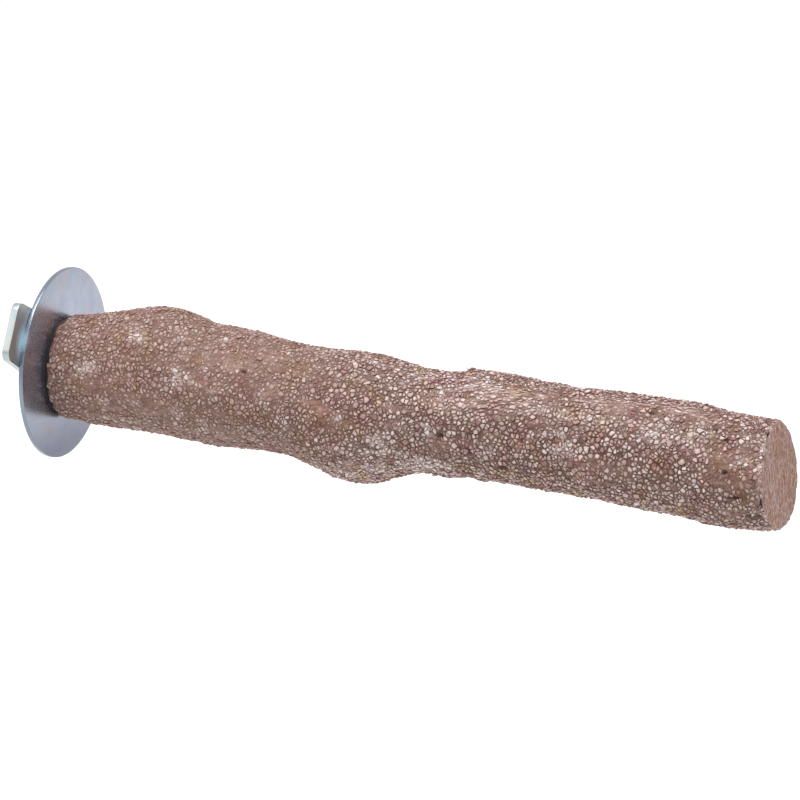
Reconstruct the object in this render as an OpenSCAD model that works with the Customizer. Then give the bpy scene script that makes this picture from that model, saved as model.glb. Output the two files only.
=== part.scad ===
// Bird perch: a natural branch with a mineral grit coating, bolted to a cage's bars.
// The origin is on the stud's axis, in the plane where the branch end meets the washer.
// +X runs along the branch to its free end, +Z is up, and -Y is the side seen from the front.

/* [Branch] */
// Length of the coated branch, from the washer to the free end
perch_len = 196; // [120:1:320]
// Nominal diameter over the grit coating
perch_d = 28.8; // [20:0.1:45]
// How far the free end's centre sits below the stud's axis
branch_drop = 7.5; // [0:0.5:12]
// Lean of the free end's saw cut, its top edge towards the cage, in degrees
cut_lean = 3.5; // [0:0.5:8]
// How far the middle of the branch bows away from the front
branch_bow = 0.8; // [0:0.1:4]
// Height of the long swelling on top, near the cage end
swelling_h = 2.6; // [0:0.1:4]
// Height of the knot underneath, before the middle
knot_h = 5.1; // [0:0.1:6]
// Height of the shoulder on top, opposite the knot
shoulder_h = 1.4; // [0:0.1:3]
// Height of the small nub on top, just past the middle
nub_h = 0.6; // [0:0.1:1.5]
// Height of the soft ridges on the front
ridge_h = 0.7; // [0:0.1:1.5]
// Depth of the hollow on the front, just past the knot
hollow_depth = 0.8; // [0:0.1:1.5]
// How far the free end bulges at the lower back, and is flattened at the upper back
end_skew = 1.1; // [0:0.1:2]
// Depth of the slow ripple in the surface
ripple_h = 0.2; // [0:0.05:0.6]

/* [Coating] */
// Thickness of the grit coating
coat_t = 1.2; // [0.6:0.1:2.5]
// Bare stretch of core between the washer and the coating's edge
coat_gap = 0.8; // [0.5:0.1:4]
// Length over which the coating's edge rounds down to the core
lip_len = 1.5; // [1:0.1:5]

/* [Hanger bolt] */
// Outside diameter of the machine thread and of the wood thread
stud_d = 6.35; // [5:0.05:8]
// Pitch of the machine thread
stud_pitch = 1.27; // [0.8:0.01:1.6]
// How far the stud stands out of the branch end
stud_out = 14; // [13:0.5:24]
// Length of the plain lead-in tip that guides a nut onto the stud
tip_len = 2; // [1.5:0.1:3]
// How deep the wood thread goes into the branch
screw_in = 28; // [20:1:40]
// Pitch of the wood thread
screw_pitch = 2.8; // [2:0.1:4]

/* [Fender washer] */
// Outside diameter of the washer
washer_d = 50; // [38:0.5:64]
// Thickness of the washer
washer_t = 1.2; // [1:0.1:2.5]
// Gap all round between the washer's hole and the stud
washer_play = 0.4; // [0.3:0.05:0.8]

/* [Wing nut] */
// Tip-to-tip length over both wings
nut_span = 62.4; // [44:0.1:72]
// Width of a wing across its tip
wing_w = 15.5; // [10:0.5:20]
// Thickness of the flat wings
wing_t = 1.9; // [1.2:0.1:3]
// Height of the threaded collar, wings included
nut_h = 5.8; // [4.5:0.1:7]
// Outside diameter of the threaded collar
collar_d = 11.5; // [10.5:0.1:14]
// Running gap all round between the nut and the thread's crests
nut_play = 0.05; // [0.02:0.01:0.1]
// How far the front wing is turned up from level at rest
nut_turn = 30; // [0:1:90]

/* [Hidden] */

$fn = 96;
// Overrun of every cutting shape past the face that it opens
cut_over = 1;
// Rings along the branch, and points round each ring
ring_count = 44;
ring_points = 32;
// Steps in the rounded rim of the free end and in the coating's rounded edge
round_steps = 4;
// Points round the corners of a wing
corner_fn = 32;

nominal_r = perch_d / 2;
// The coating's cap on the free end, and the radius of its rim, as shares of its thickness
cap_share = 0.85;
rim_share = 1.3;
cap_t = coat_t * cap_share;
rim_r = coat_t * rim_share;

// Girth along the branch: [share of its length, share of the nominal radius]
girth_shares = [
    [0, 0.95], [0.05, 1], [0.14, 1.08], [0.25, 1.09], [0.33, 1], [0.43, 0.96],
    [0.53, 0.935], [0.61, 0.97], [0.7, 0.955], [0.79, 0.995], [0.88, 1.02], [0.95, 1.03],
    [1, 0.98]
];
// Centre line along the branch: [share of its length, share of the whole drop]
drop_shares = [
    [0, 0.14], [0.14, 0.07], [0.25, 0.22], [0.33, 0.32], [0.43, 0.49], [0.53, 0.62],
    [0.61, 0.52], [0.72, 0.67], [0.81, 0.75], [0.88, 0.85], [0.94, 1], [1, 1]
];
// Sideways bow along the branch: [share of its length, share of the whole bow]
bow_shares = [[0, 0], [0.2, 0.5], [0.45, 1], [0.7, 0.4], [1, 0]];

// Bumps: [share of the length, degrees round from the top towards the front, height,
// reach towards the cage and towards the free end as shares of the length, spread in degrees]
bump_shares = [
    [0.15, -15, swelling_h, 0.08, 0.045, 75],
    [0.43, 155, knot_h, 0.074, 0.056, 62],
    [0.44, -20, shoulder_h, 0.056, 0.046, 55],
    [0.585, -15, nub_h, 0.022, 0.026, 30],
    [0.3, 95, ridge_h, 0.1, 0.07, 32],
    [0.66, 55, ridge_h, 0.09, 0.12, 28],
    [0.54, 100, -hollow_depth, 0.025, 0.03, 20],
    [1, 238, end_skew, 0.12, 0.12, 42],
    [1, 302, -end_skew, 0.12, 0.12, 42]
];
// Steepness of a bump's sides
bump_power = 2.6;
// How far the branch is out of round, and the direction of its long axis
oval_share = 0.012;
oval_turn = 40;

// Row of a curve's table that holds the place s
function row_of(rows, s, i = 0) =
    (i >= len(rows) - 2 || s < rows[i + 1][0]) ? i : row_of(rows, s, i + 1);

// Slope of a curve's table at row i, from the rows on both sides of it
function row_slope(rows, i) =
    let (a = rows[max(i - 1, 0)], b = rows[min(i + 1, len(rows) - 1)])
    (b[1] - a[1]) / (b[0] - a[0]);

// Value at s of the smooth curve through a table's rows
function curve_at(rows, s) =
    let (
        i = row_of(rows, s),
        a = rows[i],
        b = rows[i + 1],
        w = b[0] - a[0],
        t = min(max((s - a[0]) / w, 0), 1),
        u = 1 - t
    )
    a[1] * u * u * (1 + 2 * t) + b[1] * t * t * (3 - 2 * t)
    + w * t * u * (u * row_slope(rows, i) - t * row_slope(rows, i + 1));

// Height that one bump adds at share s of the length and angle a
function bump_at(b, s, a) =
    let (
        reach = s < b[0] ? b[3] : b[4],
        along = abs(s - b[0]) / reach,
        turn = abs((a - b[1] + 540) % 360 - 180) / b[5]
    )
    b[2] * exp(-pow(along, bump_power) - pow(turn, bump_power));

function sum(values, i = 0) = i >= len(values) ? 0 : values[i] + sum(values, i + 1);

// Slow ripple of the surface at share s and angle a
function ripple_at(s, a) =
    ripple_h * (sin(1800 * s + 2 * a) + sin(2900 * s - 3 * a)) / 2;

// Radius over the coating at share s and angle a
function branch_r(s, a) =
    nominal_r * curve_at(girth_shares, s) * (1 + oval_share * cos(2 * (a - oval_turn)))
    + sum([for (b = bump_shares) bump_at(b, s, a)])
    + ripple_at(s, a);

// The share of the length over which the rings lean over to the saw cut's angle
lean_share = 0.1;

// One ring of the surface at x, with its radius made smaller by inset
function branch_ring(x, inset) =
    let (
        s = min(max(x / perch_len, 0), 1),
        cy = branch_bow * curve_at(bow_shares, s),
        cz = -branch_drop * curve_at(drop_shares, s),
        lean = tan(cut_lean) * max(s - 1 + lean_share, 0) / lean_share
    )
    [for (k = [0 : ring_points - 1])
        let (a = 360 * k / ring_points, r = branch_r(s, a) - inset)
        [x - lean * r * cos(a), cy - r * sin(a), cz + r * cos(a)]];

function ring_centre(ring) = sum_points(ring) / len(ring);
function sum_points(points, i = 0) =
    i >= len(points) ? [0, 0, 0] : points[i] + sum_points(points, i + 1);

// Closed skin over a row of rings, with a fan of faces at each end. The rings run towards the
// free end, or towards the cage end with turned set, so that two skins can share their faces.
module ring_skin(rings, turned = false) {
    count = len(rings);
    n = ring_points;
    points = concat(
        [for (ring = rings) each ring],
        [ring_centre(rings[0]), ring_centre(rings[count - 1])]
    );
    sides = [
        for (i = [0 : count - 2]) for (k = [0 : n - 1])
            let (a = i * n + k, b = i * n + (k + 1) % n)
            each [[a, b, b + n], [a, b + n, a + n]]
    ];
    first_fan = [for (k = [0 : n - 1]) [count * n, (k + 1) % n, k]];
    last_start = (count - 1) * n;
    last_fan = [for (k = [0 : n - 1]) [count * n + 1, last_start + k, last_start + (k + 1) % n]];
    outward = concat(sides, first_fan, last_fan);
    faces = turned ? [for (f = outward) [f[2], f[1], f[0]]] : outward;
    polyhedron(points = points, faces = faces, convexity = 6);
}

core_end = perch_len - cap_t;
lip_end = coat_gap + lip_len;
rim_start = perch_len - rim_r;

// Places of the rings that the core and the coating share, from the coating's edge to the core's end
lip_xs = [for (i = [0 : round_steps]) coat_gap + lip_len * (1 - cos(90 * i / round_steps))];
body_xs = [for (i = [1 : ring_count - 1]) lip_end + (rim_start - lip_end) * i / ring_count];
shared_xs = concat(lip_xs, body_xs, [rim_start]);

// Depth of the coating's rounded edge below full thickness, at x
function lip_inset(x) =
    let (t = min(max((x - coat_gap) / lip_len, 0), 1))
    coat_t * (1 - sqrt(1 - (1 - t) * (1 - t)));

// Pilot hole and hanger bolt sizes, as shares of the stud's diameter
pilot_share = 0.82;
shank_share = 0.87;
screw_root_share = 0.7;
thread_root_share = 0.785;
tip_share = 0.72;
stud_r = stud_d / 2;
pilot_r = stud_r * pilot_share;
pilot_depth = screw_in + screw_pitch;
tip_r = stud_r * tip_share;
tip_chamfer = 0.5;
thread_len = stud_out - tip_len - tip_chamfer;
shank_len = screw_pitch;
point_len = stud_d;

// The natural wood branch, drilled along the stud's axis
module branch_core() {
    color("#5c4436")
    difference() {
        ring_skin(
            concat(
                [branch_ring(core_end, coat_t)],
                [for (i = [len(shared_xs) - 1 : -1 : 0]) branch_ring(shared_xs[i], coat_t)],
                [branch_ring(0, coat_t)]
            ),
            turned = true
        );
        translate([-cut_over, 0, 0])
            rotate([0, 90, 0])
            cylinder(r = pilot_r, h = pilot_depth + cut_over);
    }
}

// The crushed mineral coating: a cup over the core, open at the cage end
module grit_coating() {
    inner = [for (i = [len(shared_xs) - 1 : -1 : 1]) branch_ring(shared_xs[i], coat_t)];
    outer = [for (x = shared_xs) branch_ring(x, lip_inset(x))];
    rim = [
        for (i = [1 : round_steps])
            let (turn = 90 * i / round_steps)
            branch_ring(rim_start + rim_r * sin(turn), rim_r * (1 - cos(turn)))
    ];
    color("#9a7766")
    ring_skin(concat([branch_ring(core_end, coat_t)], inner, outer, rim));
}

// The double-ended bolt: a wood thread in the branch and a machine thread out of it
module hanger_bolt() {
    turns = floor(thread_len / stud_pitch);
    machine_start = thread_len - turns * stud_pitch;
    root_r = stud_r * thread_root_share;
    crest_half = stud_pitch / 16;
    machine = [
        for (i = [0 : turns - 1])
            let (x = machine_start + i * stud_pitch)
            each [[root_r, x], [stud_r, x + stud_pitch / 2 - crest_half],
                  [stud_r, x + stud_pitch / 2 + crest_half]]
    ];
    screw_root = stud_r * screw_root_share;
    shank_r = stud_r * shank_share;
    screw_turns = floor((screw_in - shank_len - point_len) / screw_pitch);
    screw_start = -shank_len;
    screw = [
        for (i = [0 : screw_turns - 1])
            let (x = screw_start - i * screw_pitch)
            each [[screw_root, x], [stud_r, x - screw_pitch / 3],
                  [screw_root, x - screw_pitch / 2]]
    ];
    screw_end = screw_start - screw_turns * screw_pitch;
    half_profile = concat(
        [[0, -screw_in], [screw_root, screw_end]],
        [for (i = [len(screw) - 1 : -1 : 0]) screw[i]],
        [[shank_r, screw_start], [shank_r, 0], [root_r, 0]],
        machine,
        [[root_r, thread_len], [tip_r, thread_len], [tip_r, thread_len + tip_len],
         [tip_r - tip_chamfer, stud_out], [0, stud_out]]
    );
    color("silver")
    rotate([0, -90, 0])
        rotate_extrude()
        polygon(half_profile);
}

// The large flat washer that bears on the cage's bars
module fender_washer() {
    color("lightsteelblue")
    translate([-washer_t, 0, 0])
        rotate([0, 90, 0])
        difference() {
            cylinder(d = washer_d, h = washer_t);
            translate([0, 0, -cut_over])
                cylinder(r = stud_r + washer_play, h = washer_t + 2 * cut_over);
        }
}

// Corner radii of a wing, and its shape: widest at a share of its length
tip_corner_r = 2.6;
wing_swell = 0.06;
wide_share = 0.52;
root_share = 0.62;

// One flat wing, drawn along +Y from the nut's axis
module wing() {
    tip_y = nut_span / 2 - tip_corner_r;
    tip_x = wing_w / 2 - tip_corner_r;
    wide_x = wing_w / 2 * (1 + wing_swell) - tip_corner_r;
    wide_y = nut_span / 2 * wide_share;
    hull() {
        for (side = [-1, 1]) {
            translate([side * tip_x, tip_y, 0])
                cylinder(r = tip_corner_r, h = wing_t, $fn = corner_fn);
            translate([side * wide_x, wide_y, 0])
                cylinder(r = tip_corner_r, h = wing_t, $fn = corner_fn);
        }
        cylinder(d = collar_d * root_share, h = wing_t, $fn = corner_fn);
    }
}

// The pressed wing nut: two flat wings and a threaded collar
module wing_nut() {
    color("silver")
    translate([-washer_t, 0, 0])
        rotate([-nut_turn, 0, 0])
        rotate([0, -90, 0])
        difference() {
            union() {
                cylinder(d = collar_d, h = nut_h);
                wing();
                mirror([0, 1, 0]) wing();
            }
            translate([0, 0, -cut_over])
                cylinder(r = stud_r + nut_play, h = nut_h + 2 * cut_over);
        }
}

branch_core();
grit_coating();
hanger_bolt();
fender_washer();
wing_nut();
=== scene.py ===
"""Bird perch: a grit-coated branch on a hanger bolt, with its washer and wing nut.

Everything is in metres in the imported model's frame. The origin is on the stud's axis where the
branch end meets the washer, +X runs along the branch, +Z is up and -Y faces the front.
Sizes in the classes are in millimetres and angles in degrees, as on a maker's drawing.
"""

import enum
import logging
import math
from dataclasses import dataclass

import bpy
import numpy as np
from mathutils import Matrix, Vector, kdtree, noise
from mathutils.bvhtree import BVHTree


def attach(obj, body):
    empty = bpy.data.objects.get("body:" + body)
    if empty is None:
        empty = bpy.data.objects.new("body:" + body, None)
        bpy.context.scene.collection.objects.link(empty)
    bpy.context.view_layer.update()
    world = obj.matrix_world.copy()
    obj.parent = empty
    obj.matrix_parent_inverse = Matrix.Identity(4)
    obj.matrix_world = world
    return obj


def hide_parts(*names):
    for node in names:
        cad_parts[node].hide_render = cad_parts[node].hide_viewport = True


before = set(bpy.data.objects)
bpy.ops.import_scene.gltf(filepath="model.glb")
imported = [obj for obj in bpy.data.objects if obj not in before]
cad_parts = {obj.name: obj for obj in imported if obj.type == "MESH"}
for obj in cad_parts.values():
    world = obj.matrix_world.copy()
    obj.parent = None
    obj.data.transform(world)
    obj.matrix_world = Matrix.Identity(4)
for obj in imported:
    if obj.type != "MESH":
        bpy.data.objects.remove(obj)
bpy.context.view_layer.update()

MM = 0.001
LOG = logging.getLogger("bird_perch")


# Small helpers

def srgb(code: str) -> tuple[float, float, float, float]:
    """Turns an sRGB hex colour to linear values.

    Args:
        code: the colour, such as "#8f7468".

    Returns:
        Linear red, green, blue and an alpha of 1.
    """
    parts = [int(code[i:i + 2], 16) / 255 for i in (1, 3, 5)]
    linear = [c / 12.92 if c <= 0.04045 else ((c + 0.055) / 1.055) ** 2.4 for c in parts]
    return (*linear, 1.0)


def add_node(tree: bpy.types.NodeTree, kind: str, inputs: dict | None = None,
             **settings: object) -> bpy.types.Node:
    """Adds one node with its settings, values and links.

    Args:
        tree: the material's or world's node tree.
        kind: the node's type, without its ShaderNode prefix.
        inputs: for each input, by name or number, a value, a hex colour, or the socket or the
            node that feeds it. A node feeds it from its first output.
        settings: the node's own properties.

    Returns:
        The new node.
    """
    node = tree.nodes.new("ShaderNode" + kind)
    for name, value in settings.items():
        setattr(node, name, value)
    for name, value in (inputs or {}).items():
        if isinstance(value, bpy.types.Node):
            value = value.outputs[0]
        if isinstance(value, bpy.types.NodeSocket):
            tree.links.new(value, node.inputs[name])
        else:
            node.inputs[name].default_value = srgb(value) if isinstance(value, str) else value
    return node


def new_material(name: str) -> tuple[bpy.types.Material, bpy.types.NodeTree]:
    """Makes an empty node material.

    Args:
        name: what the finish is called.

    Returns:
        The material and its node tree.
    """
    material = bpy.data.materials.new(name)
    material.use_nodes = True
    material.node_tree.nodes.clear()
    return material, material.node_tree


def deselect_all() -> None:
    """Leaves nothing selected before a new primitive is added."""
    if bpy.context.mode != "OBJECT":
        bpy.ops.object.mode_set(mode="OBJECT")
    bpy.ops.object.select_all(action="DESELECT")


def select_only(piece: bpy.types.Object) -> None:
    """Leaves one object selected and active, so that operators reach nothing else.

    Args:
        piece: the object to select.
    """
    deselect_all()
    piece.select_set(True)
    bpy.context.view_layer.objects.active = piece


def apply_modifier(piece: bpy.types.Object, kind: str, **settings: object) -> None:
    """Adds one modifier and applies it.

    Args:
        piece: the object that takes it.
        kind: the modifier's type, such as "BEVEL".
        settings: its properties.
    """
    select_only(piece)
    modifier = piece.modifiers.new(kind.title(), kind)
    for name, value in settings.items():
        setattr(modifier, name, value)
    bpy.ops.object.modifier_apply(modifier=modifier.name)


def combine(piece: bpy.types.Object, other: bpy.types.Object, how: str) -> None:
    """Joins or cuts one closed solid with another, which is then removed.

    Args:
        piece: the solid that stays.
        other: the solid that is added or taken away.
        how: "UNION" or "DIFFERENCE".
    """
    apply_modifier(piece, "BOOLEAN", object=other, operation=how, solver="EXACT")
    bpy.data.objects.remove(other)


def vertex_places(mesh: bpy.types.Mesh) -> np.ndarray:
    """Reads where a mesh's vertices are.

    Args:
        mesh: the mesh to read.

    Returns:
        Every vertex's X, Y and Z in metres, one row a vertex.
    """
    places = np.empty(len(mesh.vertices) * 3)
    mesh.vertices.foreach_get("co", places)
    return places.reshape(-1, 3)


def shell_on_rows(name: str, rows: np.ndarray,
                  poles: np.ndarray) -> tuple[bpy.types.Object, np.ndarray]:
    """Turns a UV sphere into a closed shell by moving each of its rings onto a row of points.

    A vertex's height on the sphere gives its ring, and its turn gives its column.

    Args:
        name: the piece's name.
        rows: points in metres, one row for each ring of the sphere and one column a segment.
        poles: the points that close the first and the last row.

    Returns:
        The new object, with its faces pointing outwards, and for each vertex the number of the
        point that it took, counted row by row. A pole takes the number of its nearest row.
    """
    count, segments = rows.shape[:2]
    deselect_all()
    bpy.ops.mesh.primitive_uv_sphere_add(segments=segments, ring_count=count + 1, radius=1.0)
    piece = bpy.context.active_object
    piece.name = piece.data.name = name
    mesh = piece.data
    places = vertex_places(mesh)
    fall = np.arccos(np.clip(places[:, 2], -1, 1)) / math.pi * (count + 1)
    ring = np.rint(fall).astype(int)
    turn = np.arctan2(places[:, 1], places[:, 0]) / (2 * math.pi) * segments
    column = np.rint(turn).astype(int) % segments
    order = np.clip(ring - 1, 0, count - 1) * segments + column
    moved = rows.reshape(-1, 3)[order]
    moved[ring == 0] = poles[0]
    moved[ring == count + 1] = poles[1]
    mesh.vertices.foreach_set("co", moved.ravel())
    mesh.update()
    face_outwards(piece)
    return piece, order


def face_outwards(piece: bpy.types.Object) -> None:
    """Turns a closed shell's faces round where its signed volume is negative.

    Args:
        piece: the shell to put right.
    """
    mesh = piece.data
    mesh.calc_loop_triangles()
    corners = np.empty(len(mesh.loop_triangles) * 3, int)
    mesh.loop_triangles.foreach_get("vertices", corners)
    a, b, c = vertex_places(mesh)[corners.reshape(-1, 3)].transpose(1, 0, 2)
    if np.einsum("ij,ij->", a, np.cross(b, c)) < 0:
        mesh.flip_normals()


def set_attribute(piece: bpy.types.Object, name: str, values: np.ndarray) -> None:
    """Stores one number a vertex for a material to read."""
    layer = piece.data.attributes.new(name, "FLOAT", "POINT")
    layer.data.foreach_set("value", np.asarray(values, np.float32))


class Grain(enum.Enum):
    """Noise fields: each one's grain along X, Y and Z in millimetres, and its own shift."""

    RAGGED = ((3.0, 1.6, 1.6), 11.3)
    BARE_DRIFT = ((11.0, 2.6, 2.6), 3.7)
    CHALK_DRIFT = ((5.0, 3.0, 3.0), 41.9)
    CRUMBS = ((1.8, 1.2, 1.2), 97.0)
    LUMPS = ((4.6, 3.8, 3.8), 51.0)
    SMALL_LUMPS = ((2.1, 1.9, 1.9), 63.0)
    CAGE_EDGE = ((2.0, 2.4, 2.4), 5.5)
    RIM = ((3.0, 3.5, 3.5), 81.0)
    GRIT = ((0.9, 0.8, 0.8), 7.1)
    RIPPLE = ((3.5, 2.6, 2.6), 23.0)
    LINES = ((9.0, 0.9, 0.9), 29.0)
    RIM_CHALK = ((2.0, 2.0, 2.0), 17.0)
    THINNING = ((9.0, 6.0, 6.0), 37.0)
    SOAKING = ((6.0, 4.0, 4.0), 71.0)


def grain(points: np.ndarray, field: Grain) -> np.ndarray:
    """Smooth noise from -1 to 1 at points in space.

    Args:
        points: places in millimetres.
        field: which noise.

    Returns:
        One value a point.
    """
    sizes, shift = field.value
    scaled = (points * MM).reshape(-1, 3) / (np.array(sizes) * MM) + shift
    values = [noise.noise(p) for p in scaled]
    # Blender's noise seldom passes 0.6, so it is stretched
    return np.clip(np.array(values) * 1.6, -1, 1).reshape(points.shape[:-1])


def smooth(values: np.ndarray, spread: float, axis: int, wrap: bool) -> np.ndarray:
    """Blurs a table along one axis.

    Args:
        values: the table.
        spread: the blur's standard deviation, in cells.
        axis: the axis to blur along.
        wrap: whether that axis runs round the branch.

    Returns:
        The blurred table.
    """
    reach = int(math.ceil(3 * spread))
    steps = np.arange(-reach, reach + 1)
    weights = np.exp(-0.5 * (steps / spread) ** 2)
    weights /= weights.sum()
    pad = [(0, 0)] * values.ndim
    pad[axis] = (reach, reach)
    if wrap:
        padded = np.pad(values, pad, mode="wrap")
    else:
        padded = np.pad(values, pad, mode="reflect", reflect_type="odd")
    return np.apply_along_axis(lambda row: np.convolve(row, weights, "valid"), axis, padded)


# Finishes

@dataclass(frozen=True)
class Finish:
    """What all the finishes share: a name, a roughness and a fine relief."""

    name: str = "finish"
    roughness: float = 0.5
    relief_share: float = 0.5
    relief_mm: float = 0.1

    def layers(self, tree: bpy.types.NodeTree,
               place: bpy.types.NodeSocket) -> tuple[bpy.types.Node, bpy.types.Node, dict]:
        """Builds the finish's own nodes.

        Args:
            tree: the material's node tree.
            place: the object's coordinates.

        Returns:
            The node that gives the colour, the one that gives the relief's height, and any
            further inputs of the shader.
        """
        raise NotImplementedError

    def material(self) -> bpy.types.Material:
        """Builds the whole material round the finish's own nodes.

        Returns:
            The material, ready for a piece.
        """
        material, tree = new_material(self.name)
        place = add_node(tree, "TexCoord").outputs["Object"]
        colour, height, further = self.layers(tree, place)
        bump = add_node(tree, "Bump", {"Height": height, "Strength": self.relief_share,
                                       "Distance": self.relief_mm * MM})
        shader = add_node(tree, "BsdfPrincipled", {"Base Color": colour, "Normal": bump,
                                                   "Roughness": self.roughness, **further})
        add_node(tree, "OutputMaterial", {"Surface": shader})
        return material


def mineral_drift(tree: bpy.types.NodeTree, colour: bpy.types.Node,
                  place: bpy.types.NodeSocket) -> bpy.types.Node:
    """Tints a colour in soft patches of olive and of rose, and dots it with flecks and pores.

    Args:
        tree: the material's node tree.
        colour: the node that gives the colour to tint.
        place: the object's coordinates.

    Returns:
        The node that gives the tinted colour.
    """
    # Patches 6.7 mm and 5.3 mm across, as so many in a metre
    for scale, shift, tint in ((150.0, 2.0, "#e9dbb2"), (190.0, 9.0, "#ebced6")):
        cloud = add_node(tree, "TexNoise", {"Vector": place, "W": shift, "Scale": scale,
                                            "Detail": 2.0}, noise_dimensions="4D")
        share = add_node(tree, "MapRange", {"Value": cloud, "From Min": 0.5, "From Max": 0.68,
                                            "To Max": 0.68})
        colour = add_node(tree, "MixRGB", {"Fac": share, "Color1": colour, "Color2": tint},
                          blend_type="MULTIPLY")
    # Bright flecks 0.4 mm across and dark pores 0.5 mm across, in about every other cell. The
    # cells are 1.6 mm and 1.9 mm across, as so many in a metre
    for scale, size, tint in ((640.0, 0.16, "#f6ebe6"), (520.0, 0.15, "#33211e")):
        cell = add_node(tree, "TexVoronoi", {"Vector": place, "Scale": scale})
        dot = add_node(tree, "MapRange", {"Value": cell.outputs["Distance"],
                                          "From Min": size, "From Max": size * 0.6})
        pick = add_node(tree, "SeparateColor", {"Color": cell.outputs["Color"]})
        some = add_node(tree, "MapRange", {"Value": pick.outputs["Red"], "From Min": 0.45,
                                           "From Max": 0.75, "To Max": 0.85})
        share = add_node(tree, "Math", {0: dot, 1: some}, operation="MULTIPLY")
        colour = add_node(tree, "MixRGB", {"Fac": share, "Color1": colour, "Color2": tint})
    return colour


@dataclass(frozen=True)
class CrushedMineral(Finish):
    """Crushed mineral chips, whose broken faces look like matt, pinkish stone.

    Resin wets their sides and some of their tops, which makes them darker and browner. The
    darker sides are partly painted shade in the grooves between the chips.
    """

    name: str = "crushed_mineral_chips"
    dark: str = "#a5847a"
    light: str = "#f6e1dc"
    chalky: str = "#efe8e8"
    resin: str = "#875f57"
    speck_mm: float = 0.5
    roughness: float = 0.62
    relief_mm: float = 0.08

    def layers(self, tree: bpy.types.NodeTree,
               place: bpy.types.NodeSocket) -> tuple[bpy.types.Node, bpy.types.Node, dict]:
        """Colours each chip by its own shade, chalk and resin stain, with painted shade on its
        sides.

        Args:
            tree: the material's node tree.
            place: the object's coordinates.

        Returns:
            The colour's node, the height's node and any further inputs of the shader.
        """
        read = {key: add_node(tree, "Attribute", attribute_name=key).outputs["Fac"]
                for key in ("shade", "chalk", "stain_and_shade")}
        speck = add_node(tree, "TexNoise", {"Vector": place, "Scale": 1 / (self.speck_mm * MM),
                                            "Detail": 3.0, "Roughness": 0.6})
        tone = add_node(tree, "Math", {0: speck, 1: 0.5, 2: -0.25}, operation="MULTIPLY_ADD")
        tone = add_node(tree, "Math", {0: read["shade"], 1: tone}, operation="ADD",
                        use_clamp=True)
        colour = self.dark
        for share, over in ((tone, self.light), (read["chalk"], self.chalky),
                            (read["stain_and_shade"], self.resin)):
            colour = add_node(tree, "MixRGB", {"Fac": share, "Color1": colour, "Color2": over})
        return mineral_drift(tree, colour, place), speck, {}


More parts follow.
